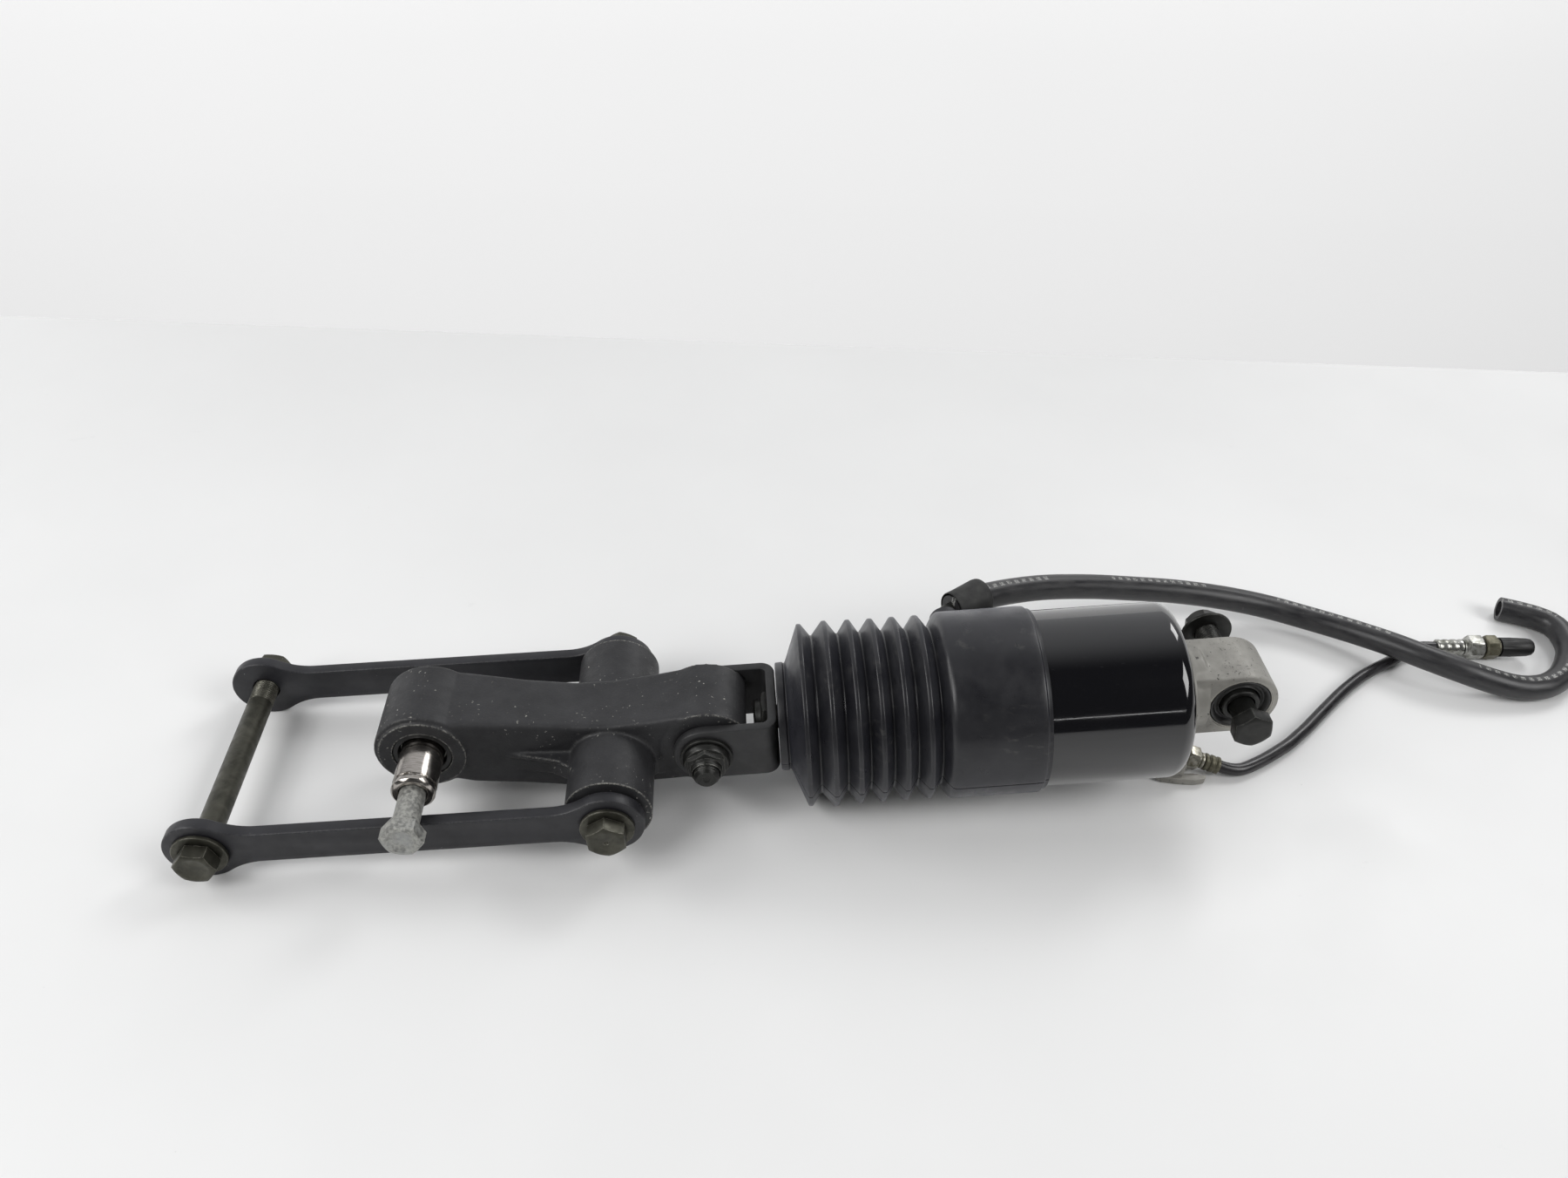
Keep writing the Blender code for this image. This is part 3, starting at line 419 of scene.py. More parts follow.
def polished_collar():
    """Ground steel with fine lathe lines and brown staining where it has sat in its seal."""
    look = Look("polished_collar_steel", roughness=0.16, metallic=1.0)
    lines = look.noise(260, 3, stretch=(1, 9, 1))
    tone = look.mix(look.band(lines, 0.35, 0.70), (0.36, 0.33, 0.30), (0.56, 0.53, 0.50))
    start = joint_place("collar_spin").y - 0.0440
    zone = look.band(look.math("ABSOLUTE", look.math("SUBTRACT", look.axis("Y"), start + 0.0042)),
                     0.0006, 0.0018, 1.0, 0.0)
    stain = look.times(zone, look.band(look.noise(420, 6, rough=0.7), 0.44, 0.56))
    look.colour(look.mix(look.times(stain, 0.92), tone, (0.045, 0.036, 0.026)))
    look.set("Roughness", look.higher(look.band(lines, 0.3, 0.7, 0.11, 0.24),
                                    look.times(stain, 0.55)))
    look.bump((look.noise(1400, 2, stretch=(1, 12, 1)), 0.00001, 0.35))
    return look.material


def brass_look():
    """Brass under brown dirt."""
    base, dark = (0.50, 0.44, 0.27), (0.07, 0.062, 0.035)
    look = Look("dirty_brass", roughness=0.34, metallic=0.9)
    dirt = look.band(look.noise(330, 6, rough=0.7), 0.40, 0.58)
    tone = look.mix(dirt, dark, base)
    look.colour(look.mix(look.worn_edges(0.0005, 800, 0.3, 0.5), tone, (0.78, 0.72, 0.52)))
    look.set("Roughness", look.band(dirt, 0.0, 1.0, 0.62, 0.28))
    look.bump((look.noise(1500, 3), 0.00004, 0.5))
    return look.material


def table_look():
    """A pale table top with faint scuffs and a few specks."""
    look = Look("pale_table", roughness=0.42, Specular_IOR_Level=0.4)
    haze = look.band(look.noise(3.5, 4), 0.3, 0.7)
    tone = look.mix(haze, (0.80, 0.80, 0.795), (0.845, 0.845, 0.84))
    scuff = look.times(look.band(look.noise(28, 6, stretch=(1, 2.2, 1), rough=0.7), 0.66, 0.74),
                      look.band(look.noise(5, 2), 0.50, 0.62))
    tone = look.mix(look.times(scuff, 0.22), tone, (0.55, 0.55, 0.56))
    specks = look.band(look.noise(230, 2), 0.80, 0.82)
    look.colour(look.mix(look.times(specks, 0.5), tone, (0.25, 0.25, 0.25)))
    look.set("Roughness", look.band(look.noise(14, 4), 0.3, 0.7, 0.34, 0.52))
    return look.material


def wall_look():
    look = Look("pale_wall", roughness=0.8, Emission_Color=(1.0, 1.0, 1.0, 1.0), Emission_Strength=0.50)
    look.colour(look.mix(look.noise(2.0, 3), (0.80, 0.80, 0.80), (0.84, 0.84, 0.84)))
    return look.material


LOOKS = {
    "can": can_paint(),
    "link": link_paint(),
    "clevis": clevis_paint(),
    "forging": forging_paint(),
    "boot": boot_rubber(),
    "bush": plain_rubber("bush_rubber", (0.012, 0.012, 0.012), (0.030, 0.029, 0.027), 0.46),
    "seal": plain_rubber("seal_rubber", (0.010, 0.010, 0.010), (0.022, 0.022, 0.022), 0.40),
    "cuff": plain_rubber("cuff_rubber", (0.013, 0.013, 0.013), (0.026, 0.026, 0.024), 0.58, 1500),
    "air_hose": hose_rubber("air_hose_rubber", (0.012, 0.0115, 0.013), (0.024, 0.022, 0.024), 0.28),
    "breather": hose_rubber("breather_hose_rubber", (0.016, 0.016, 0.018), (0.036, 0.035, 0.036),
                            0.36, marks=True),
    "phosphate": steel_look("phosphated_steel", (0.085, 0.083, 0.066), (0.042, 0.041, 0.032),
                            (0.46, 0.44, 0.38), 0.42, 0.75, rings=(1, 6, 1)),
    "black_oxide": steel_look("black_oxide_steel", (0.024, 0.024, 0.022), (0.012, 0.012, 0.011),
                              (0.20, 0.20, 0.18), 0.38, 0.5),
    "bright": steel_look("bright_steel", (0.52, 0.51, 0.49), (0.33, 0.32, 0.30),
                         (0.75, 0.74, 0.72), 0.28, 1.0, rings=(1, 6, 1)),
    "zinc": corroded_zinc(),
    "silver": steel_look("plated_steel", (0.50, 0.50, 0.48), (0.20, 0.20, 0.17),
                         (0.80, 0.80, 0.78), 0.30, 0.9, stain_scale=300),
    "olive": steel_look("olive_plated_steel", (0.17, 0.16, 0.115), (0.085, 0.08, 0.055),
                        (0.34, 0.33, 0.26), 0.42, 0.7, stain_scale=300),
    "aluminium": cast_aluminium(),
    "collar": polished_collar(),
    "brass": brass_look(),
    "fitting": steel_look("tarnished_plate", (0.50, 0.485, 0.42), (0.13, 0.12, 0.085),
                          (0.80, 0.78, 0.70), 0.32, 0.85, stain_scale=330),
    "plastic": plain_rubber("black_plastic", (0.006, 0.006, 0.006), (0.012, 0.012, 0.012), 0.46, 900),
    "spring": steel_look("spring_paint", (0.035, 0.065, 0.16), (0.020, 0.040, 0.10),
                         (0.25, 0.26, 0.30), 0.38, 0.0, wear_width=0.0004),
}


# ---------------------------------------------------------------- mesh tools
def make_object(name, shape):
    """An object from a bmesh, faces turned outwards."""
    bmesh.ops.recalc_face_normals(shape, faces=shape.faces)
    mesh = bpy.data.meshes.new(name)
    shape.to_mesh(mesh)
    shape.free()
    item = bpy.data.objects.new(name, mesh)
    bpy.context.scene.collection.objects.link(item)
    return item


def bake(item, tools=(), sharp=38):
    """Replaces an object's mesh by what its modifiers make of it, and drops the tools."""
    bpy.context.view_layer.update()
    result = bpy.data.meshes.new_from_object(item.evaluated_get(bpy.context.evaluated_depsgraph_get()))
    item.modifiers.clear()
    item.data = result
    for tool in tools:
        bpy.data.objects.remove(tool, do_unlink=True)
    result.shade_smooth()
    result.set_sharp_from_angle(angle=math.radians(sharp))
    return item


def soften(item, width, segments=2, angle=32):
    step = item.modifiers.new("soft_edges", "BEVEL")
    step.width = width
    step.segments = segments
    step.limit_method = "ANGLE"
    step.angle_limit = math.radians(angle)
    step.use_clamp_overlap = True
    step.miter_outer = "MITER_ARC"


def combine(item, tool, operation):
    step = item.modifiers.new(tool.name, "BOOLEAN")
    step.operation = operation
    step.object = tool
    step.solver = "EXACT"


def hang(item, body, look, nodes=(), place=None):
    """Moves a finished mesh into the row frame, paints it and hangs it on its body."""
    if place is not None:
        item.data.transform(place)
    item.data.materials.clear()
    item.data.materials.append(LOOKS[look])
    if nodes:
        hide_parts(*nodes)
    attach(item, body)
    return item


def reading(value, angle):
    return value(angle) if callable(value) else value


def lathe_shape(rings, angles, hollow=False):
    """A surface round the X axis. A ring is (station, radius), numbers or functions of angle."""
    shape = bmesh.new()
    rows = []
    for station, radius in rings:
        if not callable(radius) and radius == 0:
            rows.append([shape.verts.new((reading(station, 0.0), 0, 0))])
            continue
        rows.append([shape.verts.new((reading(station, angle), reading(radius, angle) * math.cos(angle),
                                      reading(radius, angle) * math.sin(angle))) for angle in angles])
    pairs = list(zip(rows, rows[1:]))
    if hollow:
        pairs.append((rows[-1], rows[0]))
    for first, second in pairs:
        for step in range(len(angles)):
            after = (step + 1) % len(angles)
            if len(first) == 1 and len(second) == 1:
                break
            if len(first) == 1:
                shape.faces.new((first[0], second[step], second[after]))
            elif len(second) == 1:
                shape.faces.new((first[step], first[after], second[0]))
            else:
                shape.faces.new((first[step], first[after], second[after], second[step]))
    return shape


def even_angles(sides):
    return [2 * math.pi * step / sides for step in range(sides)]


def lathe(name, rings, sides=72, hollow=False, edge=0.00025):
    item = make_object(name, lathe_shape(rings, even_angles(sides), hollow))
    if edge:
        soften(item, edge)
    return bake(item)


def tool_along_y(name, radius, half_length, place, sides=72):
    """A plain cylinder along Y in the bench's directions, to add to a body or cut from it."""
    rings = ((-half_length, 0), (-half_length, radius), (half_length, radius), (half_length, 0))
    tool = make_object(name, lathe_shape(rings, even_angles(sides)))
    tool.data.transform(Matrix.Translation(place) @ FACING_FAR)
    return tool


def tool_along_x(name, radius, start, end, sides):
    return make_object(name, lathe_shape(((start, 0), (start, radius), (end, radius), (end, 0)),
                                         even_angles(sides)))


def tool_box(name, low, high):
    shape = bmesh.new()
    bmesh.ops.create_cube(shape, size=1.0)
    tool = make_object(name, shape)
    size = Vector(high) - Vector(low)
    tool.data.transform(Matrix.Translation((Vector(low) + Vector(high)) / 2)
                        @ Matrix.Diagonal((*size, 1.0)))
    return tool


def arc(centre, radius, first, last, steps):
    points = []
    for step in range(steps + 1):
        angle = math.radians(first + (last - first) * step / steps)
        points.append((centre[0] + radius * math.cos(angle), centre[1] + radius * math.sin(angle)))
    return points


def rounded(points, radius, steps=4):
    """A line of 2-D points with its inner corners rounded. A point may carry its own radius."""
    flat = [Vector(point[:2]) for point in points]
    radii = [point[2] if len(point) > 2 else radius for point in points]
    result = [tuple(flat[0])]
    for before, corner, after, reach in zip(flat, flat[1:], flat[2:], radii[1:]):
        arriving = (before - corner)
        leaving = (after - corner)
        cut = min(reach, 0.45 * arriving.length, 0.45 * leaving.length)
        start = corner + arriving.normalized() * cut
        end = corner + leaving.normalized() * cut
        for step in range(steps + 1):
            t = step / steps
            result.append(tuple(start * (1 - t) ** 2 + corner * (2 * t * (1 - t)) + end * t ** 2))
    result.append(tuple(flat[-1]))
    return result


def prism(name, outline, start, end, axis):
    """An outline extruded along Y, from (x, z) points, or along Z, from (x, y) points."""
    shape = bmesh.new()
    if axis == "Y":
        corners = [shape.verts.new((a, start, b)) for a, b in outline]
        along = (0, end - start, 0)
    else:
        corners = [shape.verts.new((a, b, start)) for a, b in outline]
        along = (0, 0, end - start)
    face = shape.faces.new(corners)
    raised = bmesh.ops.extrude_face_region(shape, geom=[face])
    moved = [part for part in raised["geom"] if isinstance(part, bmesh.types.BMVert)]
    bmesh.ops.translate(shape, verts=moved, vec=along)
    return make_object(name, shape)


def smooth_path(route, spacing):
    """Evenly spaced points on a smooth curve through the route's points."""
    points = [Vector(point) for point in route]
    ends = [2 * points[0] - points[1]] + points + [2 * points[-1] - points[-2]]
    fine = []
    steps = 24
    for before, start, end, after in zip(ends, ends[1:], ends[2:], ends[3:]):
        for step in range(steps):
            t = step / steps
            fine.append(0.5 * (2 * start + (end - before) * t
                               + (2 * before - 5 * start + 4 * end - after) * t ** 2
                               + (3 * start - before - 3 * end + after) * t ** 3))
    fine.append(points[-1])
    length = sum((b - a).length for a, b in zip(fine, fine[1:]))
    count = max(2, round(length / spacing))
    path = [fine[0]]
    walked = 0.0
    for a, b in zip(fine, fine[1:]):
        piece = (b - a).length
        while len(path) < count and walked + piece >= length * len(path) / count:
            path.append(a.lerp(b, (length * len(path) / count - walked) / piece))
        walked += piece
    path.append(fine[-1])
    return path


def frames_along(path):
    """(point, side, up) at each point, turned as little as possible from one to the next."""
    frames = []
    up = Vector((0, 0, 1))
    for index, point in enumerate(path):
        before = path[max(0, index - 1)]
        after = path[min(len(path) - 1, index + 1)]
        along = (after - before).normalized()
        side = along.cross(up).normalized()
        frames.append((point, side, side.cross(along).normalized()))
        up = frames[-1][2]
    return frames


def tube(name, path, radius, sides=32, bore=0.0, bore_depth=0.0):
    """A tube along a path, with its place along and round the hose kept on its points.
    With a bore, its far end is open, to bore_depth from the end."""
    shape = bmesh.new()
    marks = shape.verts.layers.float_vector.new("hose_place")
    frames = frames_along(path)
    walked = [0.0]
    for a, b in zip(path, path[1:]):
        walked.append(walked[-1] + (b - a).length)
    rows = []

    def add_row(index, reach):
        point, side, up = frames[index]
        row = []
        for angle in even_angles(sides):
            corner = shape.verts.new(point + reach * (side * math.cos(angle) + up * math.sin(angle)))
            corner[marks] = (walked[index], math.cos(angle), math.sin(angle))
            row.append(corner)
        rows.append(row)

    for index in range(len(path)):
        add_row(index, radius)
    if bore:
        inner = [index for index in range(len(path)) if walked[-1] - walked[index] <= bore_depth]
        for index in reversed(inner):
            add_row(index, bore)
    for first, second in zip(rows, rows[1:]):
        for step in range(sides):
            after = (step + 1) % sides
            shape.faces.new((first[step], first[after], second[after], second[step]))
    shape.faces.new(rows[0])
    shape.faces.new(rows[-1])
    item = make_object(name, shape)
    item.data.shade_smooth()
    item.data.set_sharp_from_angle(angle=math.radians(50))
    return item


# ---------------------------------------------------------------- fasteners
def hexagon(flat):
    """The reach of a hexagon whose flats are 2 * flat apart, by angle."""
    sixth = math.pi / 3

    def reach(angle):
        return flat / math.cos(angle % sixth - sixth / 2)
    return reach


def chamfer(face, radius, flat, way):
    """The station where a cone from (face, radius) meets the hexagon's sides, by angle."""
    side = hexagon(flat)

    def station(angle):
        return face + way * CHAMFER_SLOPE * (side(angle) - radius)
    return station


def thread(start, end, radius=BOLT_RADIUS, pitch=THREAD_PITCH, depth=0.00038):
    """Rings of a rounded helical thread."""
    count = max(2, round((end - start) / pitch * 8))
    rings = []
    for step in range(count + 1):
        station = start + (end - start) * step / count
        fade = min(1.0, min(step, count - step) / 6)

        def reach(angle, station=station, fade=fade):
            wave = 0.5 - 0.5 * math.cos(2 * math.pi * station / pitch - angle)
            return radius - depth * fade * wave
        rings.append((station, reach))
    return rings


def bolt(name, length, thread_from, dish=0.0004, dimple=0.0):
    """A hexagon bolt along X, from the front of its head at 0 to its tip at length."""
    face = HEX_FLAT * HEX_FACE_SHARE
    side = hexagon(HEX_FLAT)
    rings = []
    if dimple:
        rings += [(dish + dimple, 0), (dish + dimple * 0.8, 0.0008), (dish, 0.0013)]
    else:
        rings += [(dish, 0)]
    rings += [(dish, face * 0.70), (dish * 0.35, face * 0.80), (0, face * 0.86), (0, face),
              (chamfer(0, face, HEX_FLAT, 1), side), (HEAD_HEIGHT - 0.0005, side)]
    rings += [(HEAD_HEIGHT - 0.0005, HEX_FLAT * 0.96), (HEAD_HEIGHT, HEX_FLAT * 0.96)]
    rings += [(HEAD_HEIGHT, BOLT_RADIUS)]
    rings += thread(thread_from, length - 0.0016)
    rings += [(length - 0.0010, BOLT_RADIUS - 0.0006), (length, BOLT_RADIUS - 0.0014),
              (length, 0.0020), (length - 0.0007, 0.0012), (length - 0.0008, 0)]
    return lathe(name, rings, sides=72, edge=0.00018)


def nut(name, thickness, flange=0.0, collar=0.0):
    """A hexagon nut from its bearing face at 0, with a flange and a round locking collar if given."""
    side = hexagon(HEX_FLAT)
    hole = BOLT_RADIUS + GAP
    face = HEX_FLAT * HEX_FACE_SHARE
    crown = thickness - collar
    rings = [(0, hole)]
    if flange:
        rings += [(0, flange - 0.0003), (0.0005, flange), (0.0013, flange), (0.0031, HEX_FLAT * 1.20),
                  (0.0032, side)]
    else:
        rings += [(0, face), (chamfer(0, face, HEX_FLAT, 1), side)]
    rings += [(chamfer(crown, face, HEX_FLAT, -1), side), (crown, face)]
    if collar:
        round_collar = HEX_FLAT * 0.88
        rings += [(crown, round_collar), (thickness - 0.0008, round_collar),
                  (thickness, round_collar - 0.0008), (thickness, hole + 0.0004)]
    else:
        rings += [(crown, hole + 0.0006)]
    rings += [(thickness - 0.0006 if not collar else thickness - 0.0012, hole)]
    return lathe(name, rings, sides=72, hollow=True, edge=0.00018)


def washer(name):
    outer, thickness, inner = WASHER_RADIUS, WASHER_THICKNESS, BOLT_RADIUS + GAP
    soft = 0.0003
    return lathe(name, ((0, inner), (0, outer - soft), (soft, outer), (thickness - soft, outer),
                        (thickness, outer - soft), (thickness, inner)), hollow=True, edge=0.0001)


def sleeve(name, half, outer, inner):
    soft = 0.0006
    return lathe(name, ((-half, inner + 0.0004), (-half, outer - soft), (-half + soft, outer),
                        (half - soft, outer), (half, outer - soft), (half, inner + 0.0004),
                        (half - soft, inner), (-half + soft, inner)), hollow=True, edge=0.0001)


# ---------------------------------------------------------------- shock absorber, fixed side
def make_air_can():
    corner = (CAN_END - CAN_SHOULDER, CAN_RADIUS - CAN_SHOULDER)
    outside = arc(corner, CAN_SHOULDER, 90, 0, 14)
    inside = arc(corner, CAN_SHOULDER - CAN_WALL, 0, 90, 8)
    rings = [(CAN_START, CAN_RADIUS - 0.0003), (CAN_START + 0.0003, CAN_RADIUS), (0.17, CAN_RADIUS),
             *outside, (CAN_END, CAP_HOLE + 0.0005), (CAN_END - 0.0005, CAP_HOLE),
             (CAN_END - CAN_WALL, CAP_HOLE), *inside, (CAN_START, CAN_RADIUS - CAN_WALL)]
    can = lathe("can_shell", rings, sides=160, hollow=True, edge=0.0)
    hang(can, "shock_body", "can", ["air_can"], SHOCK)


def seam_angles(sides, seams, width):
    """Even angles round a circle, with a few more close to each seam."""
    angles = even_angles(sides)
    for seam in seams:
        angles = [angle for angle in angles if abs(angle - seam) > width * 4]
        angles += [seam + width * share for share in (-3, -1.6, -0.8, 0, 0.8, 1.6, 3)]
    return sorted(angles)


def make_boot():
    """Bellows with flat-topped fins and the sleeve that grips the can."""
    neck = BOOT_NECK_START
    lip = neck - 0.0016
    outside = [(lip, BOOT_NECK - 0.0004, 0.0003), (lip + 0.0002, BOOT_NECK + 0.0006, 0.0006),
               (neck + 0.0020, BOOT_NECK + 0.0008, 0.0006), (neck + 0.0027, BOOT_NECK, 0.0006),
               (neck + 0.0034, BOOT_NECK + 0.0008, 0.0008)]
    flat = 0.0009
    for tip, valley in zip(FIN_TIPS, FIN_VALLEYS):
        outside += [(tip[0] - flat, tip[1] - 0.0001, 0.0005), (tip[0] + flat, tip[1] - 0.0001, 0.0005),
                    (valley, VALLEY_RADIUS, 0.0012)]
    outside += [(0.1122, 0.0415, 0.0015), (0.1148, BOOT_SLEEVE, 0.0040), (0.1540, BOOT_SLEEVE, 0.001),
                (0.1572, BOOT_SLEEVE - 0.0002, 0.0026), (0.1577, 0.0439, 0.0005),
                (SLEEVE_END, 0.0438, 0.0005)]
    grip = CAN_RADIUS + GAP
    inside = [(SLEEVE_END, grip, 0.0002), (0.1131, grip, 0.0005), (0.1125, 0.0390, 0.0005)]
    for tip, valley in zip(reversed(FIN_TIPS), reversed(FIN_VALLEYS)):
        inside += [(valley, VALLEY_RADIUS - BOOT_WALL, 0.0008), (tip[0], tip[1] - 0.0034, 0.0008)]
    inside += [(neck + 0.0039, BOOT_NECK - 0.0015, 0.0005), (lip, BOOT_NECK - BOOT_WALL, 0.0003)]
    outer_line = rounded(outside, 0.0005, 3)
    inner_line = rounded(inside, 0.0005, 2)
    seam_width = 0.006
    seams = (math.radians(196), math.radians(16))

    def grooved(radius):
        def reach(angle):
            depth = sum(math.exp(-((angle - seam) / seam_width) ** 2) for seam in seams)
            return radius - 0.0006 * depth
        return reach
    rings = [(station, grooved(radius)) for station, radius in outer_line] + list(inner_line)
    boot = make_object("boot_bellows", lathe_shape(rings, seam_angles(144, seams, seam_width), True))
    spout = make_object("boot_spout", lathe_shape(((0, 0), (0, 0.0092), (0.0045, 0.0086), (0.0120, 0.0078),
                                                   (0.0146, 0.0078), (0.0150, 0.0072), (0.0150, 0)),
                                                  even_angles(48)))
    spout.data.transform(Matrix.Translation((0.1240, 0.0385, 0.0090)) @ FACING_FAR)
    inside_space = tool_along_x("can_space", grip, 0.110, 0.162, 96)
    combine(spout, inside_space, "DIFFERENCE")
    combine(boot, spout, "UNION")
    bake(boot, (spout, inside_space), sharp=50)
    boot.data.transform(SHOCK)
    boot.data.materials.append(LOOKS["boot"])
    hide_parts("dust_boot")
    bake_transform(boot)


def make_end_cap():
    """The cast cap: a plug and flange, an eye with filleted cheeks, and the port foot."""
    eye_outline = [(0.2290, -EYE_RADIUS), *arc((EYE_STATION, 0), EYE_RADIUS, -90, 90, 48),
                   (0.2290, EYE_RADIUS)]
    half = EYE_HALF_WIDTH - 0.0004
    cap = prism("end_cap_casting", eye_outline, -half, half, "Y")
    spigot = CAP_HOLE - 0.0004
    fillet = arc((0.2362, 0.0262), 0.0060, 180, 270, 8)
    plug = make_object("cap_plug", lathe_shape([(0.2150, 0), (0.2150, spigot), (0.2274, spigot),
                                                (0.2274, 0.0308), (0.2302, 0.0308), *fillet,
                                                (0.2400, 0.0200), (0.2400, 0)], even_angles(96)))
    back = SHOCK.inverted() @ BENCH
    lug = tool_box("port_lug", (0.2299, -0.0060, 0.0100), (0.2375, 0.0100, 0.0460))
    foot = tool_box("port_foot", (0.2303, -0.0080, 0.0002), (0.2440, 0.0113, 0.0140))
    for tool in (lug, foot):
        tool.data.transform(back)
    for tool in (plug, lug, foot):
        combine(cap, tool, "UNION")
    remesh = cap.modifiers.new("cast_skin", "REMESH")
    remesh.mode = "VOXEL"
    remesh.voxel_size = 0.00050
    melt = cap.modifiers.new("cast_soft", "SMOOTH")
    melt.factor = 0.5
    melt.iterations = 16
    bore = tool_along_y("eye_bore", EYE_BORE, 0.03, (EYE_STATION, 0, 0), 96)
    counter = [tool_along_y("eye_rim_" + side, EYE_BORE + 0.0007, 0.005,
                            (EYE_STATION, sign * (EYE_HALF_WIDTH + 0.0043), 0), 96)
               for side, sign in (("near", -1), ("far", 1))]
    for tool in (bore, *counter):
        combine(cap, tool, "DIFFERENCE")
    bake(cap, (plug, lug, foot, bore, *counter), sharp=40)
    hang(cap, "shock_body", "aluminium", ["upper_end_cap"], SHOCK)
    outline = rounded([(0.2325, -0.0085), (0.2325, -0.0060), (0.2500, -0.0064), (0.2560, -0.0080),
                       (0.2545, -0.0100), (0.2490, -0.0110), (0.2400, -0.0100), (0.2325, -0.0085)],
                      0.0010)[:-1]
    toe = prism("port_toe_casting", outline, 0.0004, 0.0045, "Z")
    soften(toe, 0.0006, 3)
    bake(toe)
    hang(toe, "shock_body", "aluminium", (), BENCH)


def make_eye_bush():
    half = EYE_HALF_WIDTH - 0.0005
    outer = 0.0145
    side = [(0.0094, half - 0.0022), (0.0101, half - 0.0012), (0.0108, half - 0.0022),
            (0.0118, half - 0.0026), (0.0126, half - 0.0012), (0.0133, half - 0.0003),
            (0.0141, half), (outer, half - 0.0004)]
    far = [(station, radius) for radius, station in side]
    near = [(-station, radius) for radius, station in reversed(side)]
    rings = rounded([*far, *near], 0.0006, 3)
    bush = lathe("eye_bush_rubber", rings, sides=96, hollow=True, edge=0.0)
    hang(bush, "shock_body", "bush", ["upper_eye_bush"], EYE @ FACING_FAR)


def make_spring():
    path = []
    turns, first, last, steps = 8, 0.0517, 0.2005, 8 * 40
    for step in range(steps + 1):
        angle = 2 * math.pi * turns * step / steps
        path.append(Vector((first + (last - first) * step / steps, 0.0290 * math.cos(angle),
                            0.0290 * math.sin(angle))))
    coil = tube("coil_spring", path, 0.0042, sides=20)
    coil.data.transform(SHOCK)
    coil.data.materials.append(LOOKS["spring"])
    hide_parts("main_spring")
    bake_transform(coil)


# ---------------------------------------------------------------- shock absorber, moving side
def make_clevis():
    outer = CLEVIS_HALF_WIDTH
    inner = outer - CLEVIS_PLATE
    base, bend = CLEVIS_BASE, CLEVIS_BEND
    tight = bend - CLEVIS_PLATE
    end = -CLEVIS_HALF_HEIGHT - 0.002
    section = [(end, -outer), *arc((base - bend, -outer + bend), bend, -90, 0, 10),
               *arc((base - bend, outer - bend), bend, 0, 90, 10), (end, outer), (end, inner),
               *arc((base - bend, outer - bend), tight, 90, 0, 8),
               *arc((base - bend, -outer + bend), tight, 0, -90, 8), (end, -inner)]
    height = CLEVIS_HALF_HEIGHT
    bracket = prism("clevis_plate", section, -height, height, "Z")
    side = [*arc((0, 0), height - 0.00002, 90, 270, 40), (0.05, -0.02), (0.05, 0.02)]
    profile = prism("clevis_profile", side, -0.04, 0.04, "Y")
    bore = tool_along_y("clevis_bore", BOLT_HOLE, 0.04, (0, 0, 0))
    rod_hole = tool_along_x("clevis_rod_hole", ROD_HOLE, 0.02, 0.05, 48)
    combine(bracket, profile, "INTERSECT")
    combine(bracket, bore, "DIFFERENCE")
    combine(bracket, rod_hole, "DIFFERENCE")
    soften(bracket, 0.0006, 3, 40)
    bake(bracket, (profile, bore, rod_hole))
    hang(bracket, "rod", "clevis", ["clevis_bracket"], SHOCK)
    face = base - CLEVIS_PLATE - GAP
    flats = hexagon(ROD_NUT_FLAT)
    rings = ((face - 0.0062, ROD_HOLE), (face - 0.0062, 0.0082), (face - 0.0054, 0.0090),
             (face - 0.0030, 0.0090), (chamfer(face - 0.0030, 0.0102, ROD_NUT_FLAT, 1), flats),
             (face, flats), (face, ROD_HOLE))
    rod_nut = lathe("rod_lock_nut", rings, sides=72, hollow=True)
    hang(rod_nut, "rod", "black_oxide", ["rod_nut"], SHOCK)


def make_clevis_bolt():
    face = CLEVIS_HALF_WIDTH + GAP
    front = face + HEAD_HEIGHT
    hang(bolt("clevis_pivot_bolt", front + 0.03795, 0.047), "rod", "black_oxide",
         ["clevis_bolt"], SHOCK @ Matrix.Translation((0, front, 0)) @ FACING_NEAR)
    hang(washer("clevis_bolt_washer"), "rod", "black_oxide", ["clevis_washer"],
         SHOCK @ Matrix.Translation((0, -face, 0)) @ FACING_NEAR)
    seat = face + WASHER_THICKNESS + GAP
    turn = Matrix.Rotation(math.radians(30), 4, "X")
    hang(nut("clevis_lock_nut", 0.0090, flange=0.0112, collar=0.0030), "rod", "black_oxide",
         ["clevis_nut"], SHOCK @ Matrix.Translation((0, -seat, 0)) @ FACING_NEAR @ turn)
    hang(sleeve("clevis_pivot_sleeve", CLEVIS_HALF_WIDTH - CLEVIS_PLATE - GAP, SLEEVE_RADIUS,
                BOLT_RADIUS + GAP), "rod", "bright", ["clevis_sleeve"], SHOCK @ FACING_FAR)


